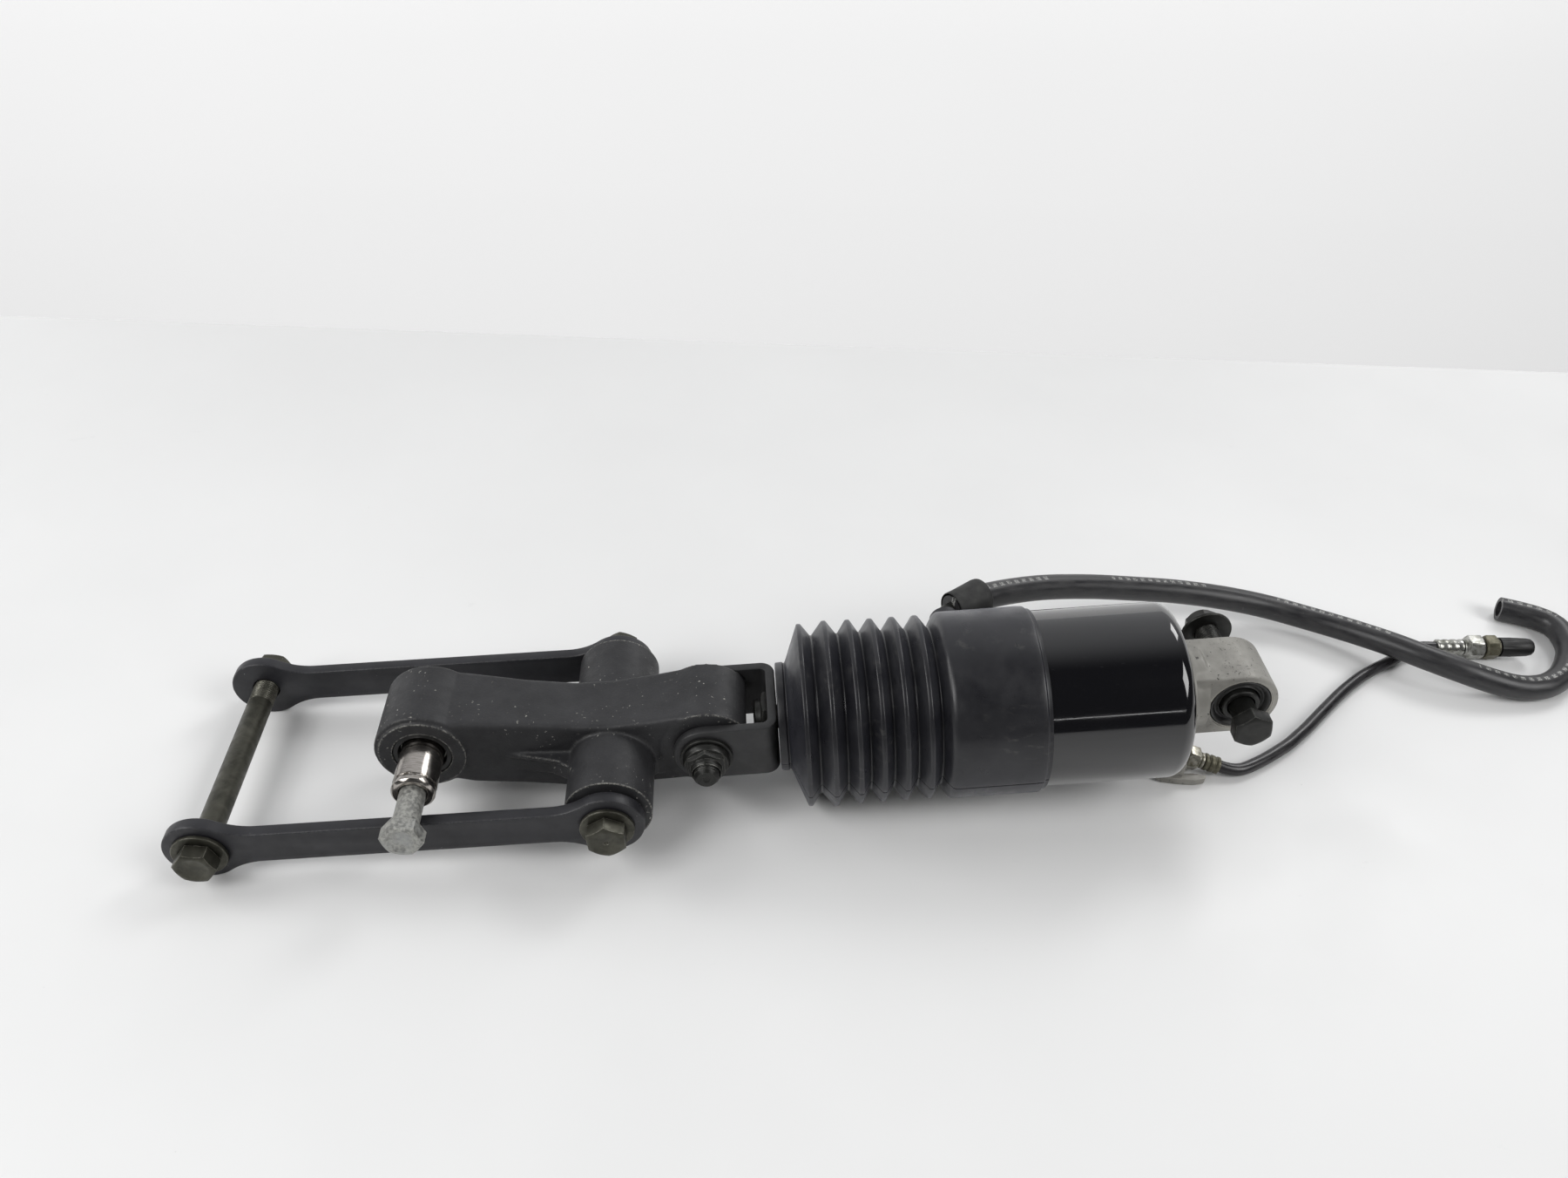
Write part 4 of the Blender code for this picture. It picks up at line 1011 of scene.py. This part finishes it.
def make_rod():
    rings = ((0.0231, 0), (0.0231, 0.0050), (0.0237, 0.0058), *thread(0.0240, 0.0360),
             (0.0366, 0.0060), (0.1675, 0.0060), (0.1675, 0))
    rod = lathe("chromed_damper_rod", rings, sides=64, edge=0.0)
    hang(rod, "rod", "bright", ["damper_rod"], SHOCK)
    stop = [(0.0520, 0.0063), (0.0520, 0.0100)]
    for index in range(3):
        centre = 0.0548 + 0.0052 * index
        stop += [(centre - 0.0010, 0.0133), (centre + 0.0010, 0.0133), (centre + 0.0026, 0.0112)]
    stop += [(0.0680, 0.0088), (0.0680, 0.0063)]
    bumper = lathe("bump_stop_foam", rounded(stop, 0.0012, 3), sides=64, hollow=True, edge=0.0)
    hang(bumper, "rod", "bush", ["bump_stop"], SHOCK)


# ---------------------------------------------------------------- relay arm
def bar_section(shape, station, corner):
    x, top, bottom, half = station
    corners = (((half - corner, top - corner), 0), ((-half + corner, top - corner), 90),
               ((-half + corner, bottom + corner), 180), ((half - corner, bottom + corner), 270))
    return [shape.verts.new((x, y, z)) for centre, first in corners
            for y, z in arc(centre, corner, first, first + 90, 4)]


def make_relay_arm():
    """A forging: a bar with blended bosses, a raised ring, gussets, and machined bores and ends."""
    shape = bmesh.new()
    loops = [bar_section(shape, station, 0.0022) for station in BAR_STATIONS]
    for first, second in zip(loops, loops[1:]):
        for step, corner in enumerate(first):
            after = (step + 1) % len(first)
            shape.faces.new((corner, first[after], second[after], second[step]))
    shape.faces.new(loops[0])
    shape.faces.new(loops[-1])
    arm = make_object("relay_arm_forging", shape)
    spare = 0.0012
    tools = [tool_along_y("frame_boss", FRAME_BOSS[0], FRAME_BOSS[1] + spare, FRAME_PIVOT),
             tool_along_y("frame_ring", FRAME_BOSS[0] + 0.0024, FRAME_BOSS[1] - 0.0016, FRAME_PIVOT),
             tool_along_y("link_boss", LINK_BOSS[0], LINK_BOSS[1] + spare, LINK_PIVOT),
             tool_along_y("shock_boss", SHOCK_BOSS[0], SHOCK_BOSS[1], SHOCK_PIVOT)]
    for side in (-1, 1):
        wedge = [(-0.0985, side * 0.0150), (-0.0740, side * 0.0186), (-0.0660, side * 0.0232),
                 (-0.0620, side * 0.0300), (-0.0500, side * 0.0150)]
        tools.append(prism("gusset", wedge if side > 0 else wedge[::-1], 0.0250, 0.0372, "Z"))
        ridge = [(-0.0990, side * 0.0160), (-0.0700, side * 0.0222), (-0.0640, side * 0.0268),
                 (-0.0560, side * 0.0160)]
        tools.append(prism("ridge", ridge if side > 0 else ridge[::-1], 0.0345, 0.0372, "Z"))
        web = [(-0.0290, side * 0.0240), (-0.0235, side * 0.0186), (-0.0140, side * 0.0160),
               (-0.0400, side * 0.0150)]
        tools.append(prism("web", web if side > 0 else web[::-1], 0.0235, 0.0330, "Z"))
    for tool in tools:
        combine(arm, tool, "UNION")
    tools.append(tool_box("shock_end_flat", (0.0190, -0.05, -0.02), (0.05, 0.05, 0.08)))
    combine(arm, tools[-1], "DIFFERENCE")
    remesh = arm.modifiers.new("forged_skin", "REMESH")
    remesh.mode = "VOXEL"
    remesh.voxel_size = 0.00065
    melt = arm.modifiers.new("forged_soft", "SMOOTH")
    melt.factor = 0.5
    melt.iterations = 5
    cutters = []
    for label, place, (radius, half) in (("frame", FRAME_PIVOT, FRAME_BOSS), ("link", LINK_PIVOT, LINK_BOSS)):
        for side in (-1, 1):
            low = sorted((side * half, side * (half + 0.01)))
            reach = radius + 0.006
            cutters.append(tool_box(label + "_facing", (place[0] - reach, low[0], place[2] - reach),
                                    (place[0] + reach, low[1], place[2] + reach)))
    for label, place in (("frame", FRAME_PIVOT), ("link", LINK_PIVOT), ("shock", SHOCK_PIVOT)):
        cutters.append(tool_along_y(label + "_bore", RELAY_BORE, 0.06, place, 96))
    for cutter in cutters:
        combine(arm, cutter, "DIFFERENCE")
    bake(arm, (*tools, *cutters), sharp=42)
    hang(arm, "rocker", "forging", ["relay_arm"], BENCH)


def make_seals():
    """Lipped seals at both ends of each bore."""
    for label, place, half, inner in (("shock_pivot", SHOCK_PIVOT, SHOCK_BOSS[1], 0.0094),
                                      ("link_pivot", LINK_PIVOT, LINK_BOSS[1], 0.0094),
                                      ("frame_pivot", FRAME_PIVOT, FRAME_BOSS[1], 0.0104)):
        outer = RELAY_BORE - GAP
        rings = rounded([(0, inner + 0.0010), (0, outer - 0.0008), (0.0001, outer), (0.0006, outer + 0.0),
                         (0.0006, outer - 0.0003), (0.0014, inner + 0.0012), (0.0026, inner + 0.0004),
                         (0.0035, inner + 0.0), (0.0035, inner + 0.0006)], 0.0003, 2)
        for side, sign, turn in (("near", -1, FACING_FAR), ("far", 1, FACING_NEAR)):
            seal = lathe(label + "_lip_seal_" + side, [*rings, (0.0034, outer)],
                         sides=72, hollow=True, edge=0.0)
            start = sign * (half - GAP)
            hang(seal, "rocker", "seal", [label + "_seal_" + side],
                 BENCH @ Matrix.Translation((place[0], start, place[2])) @ turn)


def make_frame_pivot():
    start, length, radius = -0.0440, 0.0520, 0.0100
    end = start + length
    bevel = 0.0012
    rings = [(start, BOLT_HOLE + 0.0006), (start, radius - bevel), (start + bevel, radius),
             (start + 0.0036, radius), (start + 0.0038, radius - 0.00025), (start + 0.0046, radius - 0.00025),
             (start + 0.0048, radius), (end - bevel, radius), (end, radius - bevel),
             (end, BOLT_HOLE + 0.0006), (end - 0.0006, BOLT_HOLE), (start + 0.0006, BOLT_HOLE)]
    collar = lathe("pivot_collar", rings, sides=96, hollow=True, edge=0.00012)
    hang(collar, "pivot_collar", "collar", ["frame_pivot_collar"], COLLAR @ FACING_FAR)
    hang(bolt("pivot_bolt_zinc", 0.0930, 0.068, dish=0.0011), "pivot_bolt", "zinc",
         ["frame_pivot_bolt"], COLLAR @ Matrix.Translation((0, -0.0713, 0)) @ FACING_FAR
         @ Matrix.Rotation(math.radians(10), 4, "X"))


# ---------------------------------------------------------------- links
def arm_outline():
    """Two round eyes joined by a narrower bar, as (x, z) points from the link pivot."""
    eye, half, blend = ARM_EYE, ARM_HALF_HEIGHT, ARM_BLEND
    across = math.acos((half + blend) / (eye + blend))
    run = (eye + blend) * math.sin(across)
    first = 90 - math.degrees(across)
    left = -ARM_LINE.length
    outline = [*arc((0, 0), eye, -180 + first, 180 - first, 56)]
    outline += arc((-run, half + blend), blend, -first, -90, 8)
    outline += arc((left + run, half + blend), blend, -90, -180 + first, 8)
    outline += arc((left, 0), eye, first, 360 - first, 56)
    outline += arc((left + run, -half - blend), blend, 180 - first, 90, 8)
    outline += arc((-run, -half - blend), blend, 90, first, 8)
    tidy = []
    for point in outline:
        if not tidy or math.dist(point, tidy[-1]) > 0.0001:
            tidy.append(point)
    if math.dist(tidy[0], tidy[-1]) < 0.0001:
        tidy.pop()
    return tidy


def make_link_arms():
    for side, sign in (("near", -1), ("far", 1)):
        start, end = sorted((sign * ARM_INNER_FACE, sign * (ARM_INNER_FACE + ARM_THICKNESS)))
        arm = prism("link_plate_" + side, arm_outline(), start, end, "Y")
        bores = [tool_along_y("arm_bore", BOLT_HOLE, 0.08, (x, 0, 0)) for x in (0, -ARM_LINE.length)]
        for bore in bores:
            combine(arm, bore, "DIFFERENCE")
        soften(arm, 0.0007, 3, 40)
        bake(arm, bores)
        hang(arm, "links", "link", ["link_arm_" + side], LINKS)


def make_arm_bolt(label, body, place, far_end, turn, dimple=0.0):
    outer = ARM_INNER_FACE + ARM_THICKNESS + GAP
    seat = outer + WASHER_THICKNESS + GAP
    front = seat + HEAD_HEIGHT
    for side, sign, facing in (("near", -1, FACING_NEAR), ("far", 1, FACING_FAR)):
        hang(washer(label + "_plain_washer_" + side), body, "phosphate",
             [label + "_washer_" + side], place @ Matrix.Translation((0, sign * outer, 0)) @ facing)
    spin = Matrix.Rotation(math.radians(turn), 4, "X")
    length = far_end + front
    hang(bolt(label + "_hex_bolt", length, length - 0.030, dish=0.0003, dimple=dimple), body, "phosphate",
         [label + "_bolt"], place @ Matrix.Translation((0, -front, 0)) @ FACING_FAR @ spin)
    hang(nut(label + "_hex_nut", 0.0090), body, "phosphate", [label + "_nut"],
         place @ Matrix.Translation((0, seat, 0)) @ FACING_FAR @ spin)


# ---------------------------------------------------------------- upper mounting
def make_eye_bolt():
    hang(sleeve("eye_inner_sleeve", 0.0156, SLEEVE_RADIUS, BOLT_HOLE), "eye_sleeve", "black_oxide",
         ["eye_sleeve"], EYE @ FACING_FAR)
    turn = Matrix.Rotation(math.radians(24), 4, "X")
    hang(bolt("eye_mount_bolt", 0.0833, 0.040, dish=0.0), "eye_bolt", "black_oxide",
         ["eye_bolt"], EYE @ Matrix.Translation((0, -0.0333, 0)) @ FACING_FAR @ turn)
    hang(nut("eye_flange_nut", 0.0110, flange=0.0130, collar=0.0022), "eye_bolt", "black_oxide",
         ["eye_bolt_nut"], EYE @ Matrix.Translation((0, 0.0370, 0)) @ FACING_FAR @ turn)


# ---------------------------------------------------------------- hoses
def aimed(place, direction):
    return Matrix.Translation(place) @ direction.to_track_quat("X", "Z").to_matrix().to_4x4()


def grooved_ferrule(start, end, radius, grooves, depth):
    """Rings of a crimped ferrule."""
    rings = [(start, radius - 0.0006), (start + 0.0005, radius)]
    pitch = (end - start - 0.002) / grooves
    for index in range(grooves):
        middle = start + 0.001 + pitch * (index + 0.5)
        rings += [(middle - pitch * 0.28, radius), (middle, radius - depth), (middle + pitch * 0.28, radius)]
    return rings + [(end - 0.0005, radius), (end, radius - 0.0006)]


def make_air_hose():
    path = [BENCH @ point for point in smooth_path(AIR_HOSE_ROUTE, 0.0030)]
    coarse = [BENCH @ point for point in smooth_path(AIR_HOSE_ROUTE, 0.0090)]
    start = path[0]
    direction = (start - BENCH @ Vector((0.2450, 0.0030, 0.0088))).normalized()
    root = aimed(start - direction * (0.0192 + GAP), direction)
    side = hexagon(0.0055)
    fitting = lathe("banjo_fitting", [(0, 0), (0, 0.0044), (0.0004, 0.0048), (0.0018, 0.0048),
                                      (chamfer(0.0020, 0.0050, 0.0055, 1), side),
                                      (chamfer(0.0080, 0.0050, 0.0055, -1), side), (0.0080, 0.0050),
                                      (0.0082, 0.0036), (0.0090, 0.0036), (0.0092, 0.0042), (0.0105, 0.0042),
                                      (0.0105, 0)], sides=72, edge=0.00015)
    hang(fitting, "shock_body", "fitting", ["air_fitting"], root)
    ferrule = lathe("hose_crimp", [(0.0108, 0), *grooved_ferrule(0.0108, 0.0192, 0.0045, 2, 0.0006),
                                   (0.0192, 0)], sides=64, edge=0.0001)
    hang(ferrule, "shock_body", "olive", ["air_hose_ferrule"], root)
    heading = (coarse[-1] - coarse[-2]).normalized()
    tip = aimed(path[-1] + heading * GAP, heading)
    crimp = lathe("valve_crimp", [(0, 0), *grooved_ferrule(0, 0.0150, 0.0046, 3, 0.0005), (0.0150, 0)],
                  sides=64, edge=0.0001)
    hang(crimp, "shock_body", "silver", ["valve_ferrule"], tip)
    side = hexagon(0.0063)
    body = [(0.0153, 0), (0.0153, 0.0046), (0.0160, 0.0050), (0.0170, 0.0050),
            (chamfer(0.0173, 0.0056, 0.0063, 1), side), (chamfer(0.0255, 0.0056, 0.0063, -1), side),
            (0.0255, 0.0056), (0.0257, 0.0042)]
    body += [(station, reach) for station, reach in thread(0.0260, 0.0438, 0.0040, 0.0008, 0.00022)]
    body += [(0.0440, 0.0034), (0.0440, 0)]
    hang(lathe("valve_stem", body, sides=64, edge=0.0001), "shock_body", "silver",
                       ["valve_body"], tip)
    side = hexagon(0.0062)
    ring_nut = [(0.0268, 0.0043), (0.0268, 0.0056), (chamfer(0.0270, 0.0057, 0.0062, 1), side),
                (chamfer(0.0338, 0.0057, 0.0062, -1), side), (0.0338, 0.0055), (0.0340, 0.0050),
                (0.0350, 0.0050), (0.0350, 0.0043)]
    hang(lathe("valve_lock_nut", ring_nut, sides=72, hollow=True, edge=0.00012), "shock_body",
                       "olive", ["valve_nut"], tip)

    def ribbed(radius, share):
        return lambda angle: radius - 0.00022 * share * (0.5 + 0.5 * math.cos(18 * angle))
    cap = [(0.0356, 0.0044), (0.0356, ribbed(0.0056, 0)), (0.0362, ribbed(0.0056, 1)),
           (0.0420, ribbed(0.0056, 1)), (0.0426, ribbed(0.0055, 0)), (0.0505, 0.0052), (0.0528, 0.0047),
           (0.0540, 0.0038), (0.0545, 0.0024), (0.0545, 0), (0.0446, 0), (0.0446, 0.0044)]
    hang(lathe("dust_cap", cap, sides=108, hollow=True, edge=0.0), "shock_body", "plastic",
                       ["valve_cap"], tip)
    hose = tube("air_hose_line", path, AIR_HOSE_DIAMETER / 2, sides=28)
    hang(hose, "shock_body", "air_hose", ["air_hose"])


def make_breather_hose():
    path = [BENCH @ point for point in smooth_path(BREATHER_HOSE_ROUTE, 0.0040)]
    coarse = [BENCH @ point for point in smooth_path(BREATHER_HOSE_ROUTE, 0.0115)]
    start = path[0]
    heading = (coarse[1] - start).normalized()
    elbow = smooth_path(((0.1228, 0.0543, 0.0598), (0.1229, 0.0559, 0.0598), (0.1242, 0.0580, 0.0601),
                         tuple(BENCH.inverted() @ (start - heading * GAP))), 0.0006)
    nipple = tube("bent_nipple", [BENCH @ point for point in elbow], 0.0034, sides=32)
    hang(nipple, "shock_body", "black_oxide", ["breather_nipple"])
    wall = BREATHER_HOSE_DIAMETER / 2 + 0.0008
    rings = rounded([(0.0004, wall), (0, 0.0081), (0.0004, 0.0084), (0.0060, 0.0088), (0.0130, 0.0095),
                     (0.0188, 0.0101), (0.0205, 0.0100), (0.0210, 0.0096), (0.0206, 0.0086),
                     (0.0190, wall)], 0.0005, 3)
    cuff = lathe("funnel_cuff", rings, sides=72, hollow=True, edge=0.0)
    hang(cuff, "shock_body", "cuff", ["breather_cuff"], aimed(start, heading))
    hose = tube("breather_hose_line", path, BREATHER_HOSE_DIAMETER / 2, sides=40, bore=0.0047,
                bore_depth=0.030)
    hang(hose, "shock_body", "breather", ["breather_hose"])


# ---------------------------------------------------------------- nodes that stay as they are
CARRIED_OVER = {
    "boot_retainer_ring": "phosphate", "damper_tube": "bright", "rod_guide": "aluminium",
    "spring_upper_seat": "phosphate", "piston": "aluminium", "spring_lower_seat": "phosphate",
    "shock_pivot_bearing": "bright", "link_pivot_bearing": "bright", "frame_pivot_bearing": "bright",
}


def paint_carried_over():
    for node, look in CARRIED_OVER.items():
        item = frame["nodes"][node]
        item.data.materials.clear()
        item.data.materials.append(LOOKS[look])


# ---------------------------------------------------------------- camera, floor and light
CAMERA_PLACE = Vector((-0.010244, -0.41616, 0.46501))
CAMERA_DOWN = math.radians(39.24)
CAMERA_TURN = math.radians(4.31)
CAMERA_ROLL = math.radians(2.39)
CAMERA_LENS = 27.81
TABLE_BACK = 0.466
WALL_PLACE = 1.30


def make_camera():
    forward = Vector((math.sin(CAMERA_TURN) * math.cos(CAMERA_DOWN),
                      math.cos(CAMERA_TURN) * math.cos(CAMERA_DOWN), -math.sin(CAMERA_DOWN)))
    level = Vector((math.cos(CAMERA_TURN), -math.sin(CAMERA_TURN), 0))
    upright = level.cross(forward)
    right = level * math.cos(CAMERA_ROLL) + upright * math.sin(CAMERA_ROLL)
    up = upright * math.cos(CAMERA_ROLL) - level * math.sin(CAMERA_ROLL)
    turn = Matrix((right, up, -forward)).transposed().to_4x4()
    data = bpy.data.cameras.new("camera")
    data.lens = CAMERA_LENS
    data.sensor_fit = "HORIZONTAL"
    data.sensor_width = 36.0
    data.clip_start = 0.01
    camera = bpy.data.objects.new("camera", data)
    bpy.context.scene.collection.objects.link(camera)
    camera.matrix_world = Matrix.Translation(CAMERA_PLACE) @ turn
    bpy.context.scene.camera = camera


def make_stage():
    """A pale table top and a pale wall that stands behind its back edge."""
    shape = bmesh.new()
    corners = ((-2.5, -2.5), (2.5, -2.5), (2.5, TABLE_BACK - 0.16), (-2.5, TABLE_BACK + 0.16))
    shape.faces.new([shape.verts.new((x, y, 0)) for x, y in corners])
    table = make_object("table_top", shape)
    table.data.materials.append(table_look())
    shape = bmesh.new()
    corners = ((-4, -1.5), (4, -1.5), (4, 0.45), (-4, 0.45))
    shape.faces.new([shape.verts.new((x, WALL_PLACE, z)) for x, z in corners])
    wall = make_object("back_wall", shape)
    wall.data.materials.append(wall_look())


def area_light(name, place, target, size, power):
    data = bpy.data.lights.new(name, "AREA")
    data.shape = "RECTANGLE"
    data.size, data.size_y = size
    data.energy = power
    lamp = bpy.data.objects.new(name, data)
    bpy.context.scene.collection.objects.link(lamp)
    lamp.location = place
    lamp.rotation_euler = (Vector(target) - Vector(place)).to_track_quat("-Z", "Y").to_euler()
    return lamp


def make_light():
    """Fill lamps on both sides in front, weaker lamps behind, and a room that is bright high up
    at the back and dark at the front, as the gloss paint shows."""
    area_light("front_left_fill", (-1.40, -0.90, 1.50), (0, 0, 0), (1.1, 1.1), 23)
    area_light("front_right_fill", (1.60, -0.90, 1.50), (0.05, 0, 0), (1.1, 1.1), 22)
    area_light("left_window", (-1.60, 0.25, 1.05), (-0.05, 0, 0), (0.7, 0.7), 8)
    area_light("right_lamp", (1.10, 0.95, 1.30), (0.10, 0, 0), (0.6, 0.6), 7)
    area_light("front_strip", (0.25, -1.50, 0.50), (0.10, 0, 0.05), (1.4, 0.012), 0.5)
    world = bpy.data.worlds.new("soft_room")
    world.use_nodes = True
    nodes, links = world.node_tree.nodes, world.node_tree.links
    back = nodes["Background"]
    back.inputs["Color"].default_value = (0.97, 0.98, 1.0, 1.0)
    place = nodes.new("ShaderNodeTexCoord")
    height = nodes.new("ShaderNodeVectorMath")
    height.operation = "DOT_PRODUCT"
    height.inputs[1].default_value = (0, 0.85, 0.53)
    links.new(place.outputs["Generated"], height.inputs[0])
    fade = nodes.new("ShaderNodeMapRange")
    fade.interpolation_type = "SMOOTHSTEP"
    for socket, value in (("From Min", 0.30), ("From Max", 0.98), ("To Min", 0.06), ("To Max", 0.72)):
        fade.inputs[socket].default_value = value
    links.new(height.outputs["Value"], fade.inputs["Value"])
    links.new(fade.outputs["Result"], back.inputs["Strength"])
    bpy.context.scene.world = world
    bpy.context.scene.view_settings.view_transform = "Standard"
    bpy.context.scene.view_settings.exposure = 0.0


# ---------------------------------------------------------------- all of it
make_camera()
make_stage()
make_light()
make_air_hose()
make_breather_hose()
make_air_can()
make_boot()
make_end_cap()
make_eye_bush()
make_spring()
make_clevis()
make_clevis_bolt()
make_rod()
make_relay_arm()
make_seals()
make_frame_pivot()
make_link_arms()
make_arm_bolt("link_pivot", "links", LINKS, 0.0692, 30, dimple=0.0009)
make_arm_bolt("cross", "cross_bolt", CROSS, 0.0682, 12)
hang(sleeve("link_inner_sleeve", ARM_INNER_FACE - GAP, SLEEVE_RADIUS, BOLT_RADIUS + GAP), "links",
     "bright", ["link_pivot_sleeve"], LINKS @ FACING_FAR)
make_eye_bolt()
paint_carried_over()
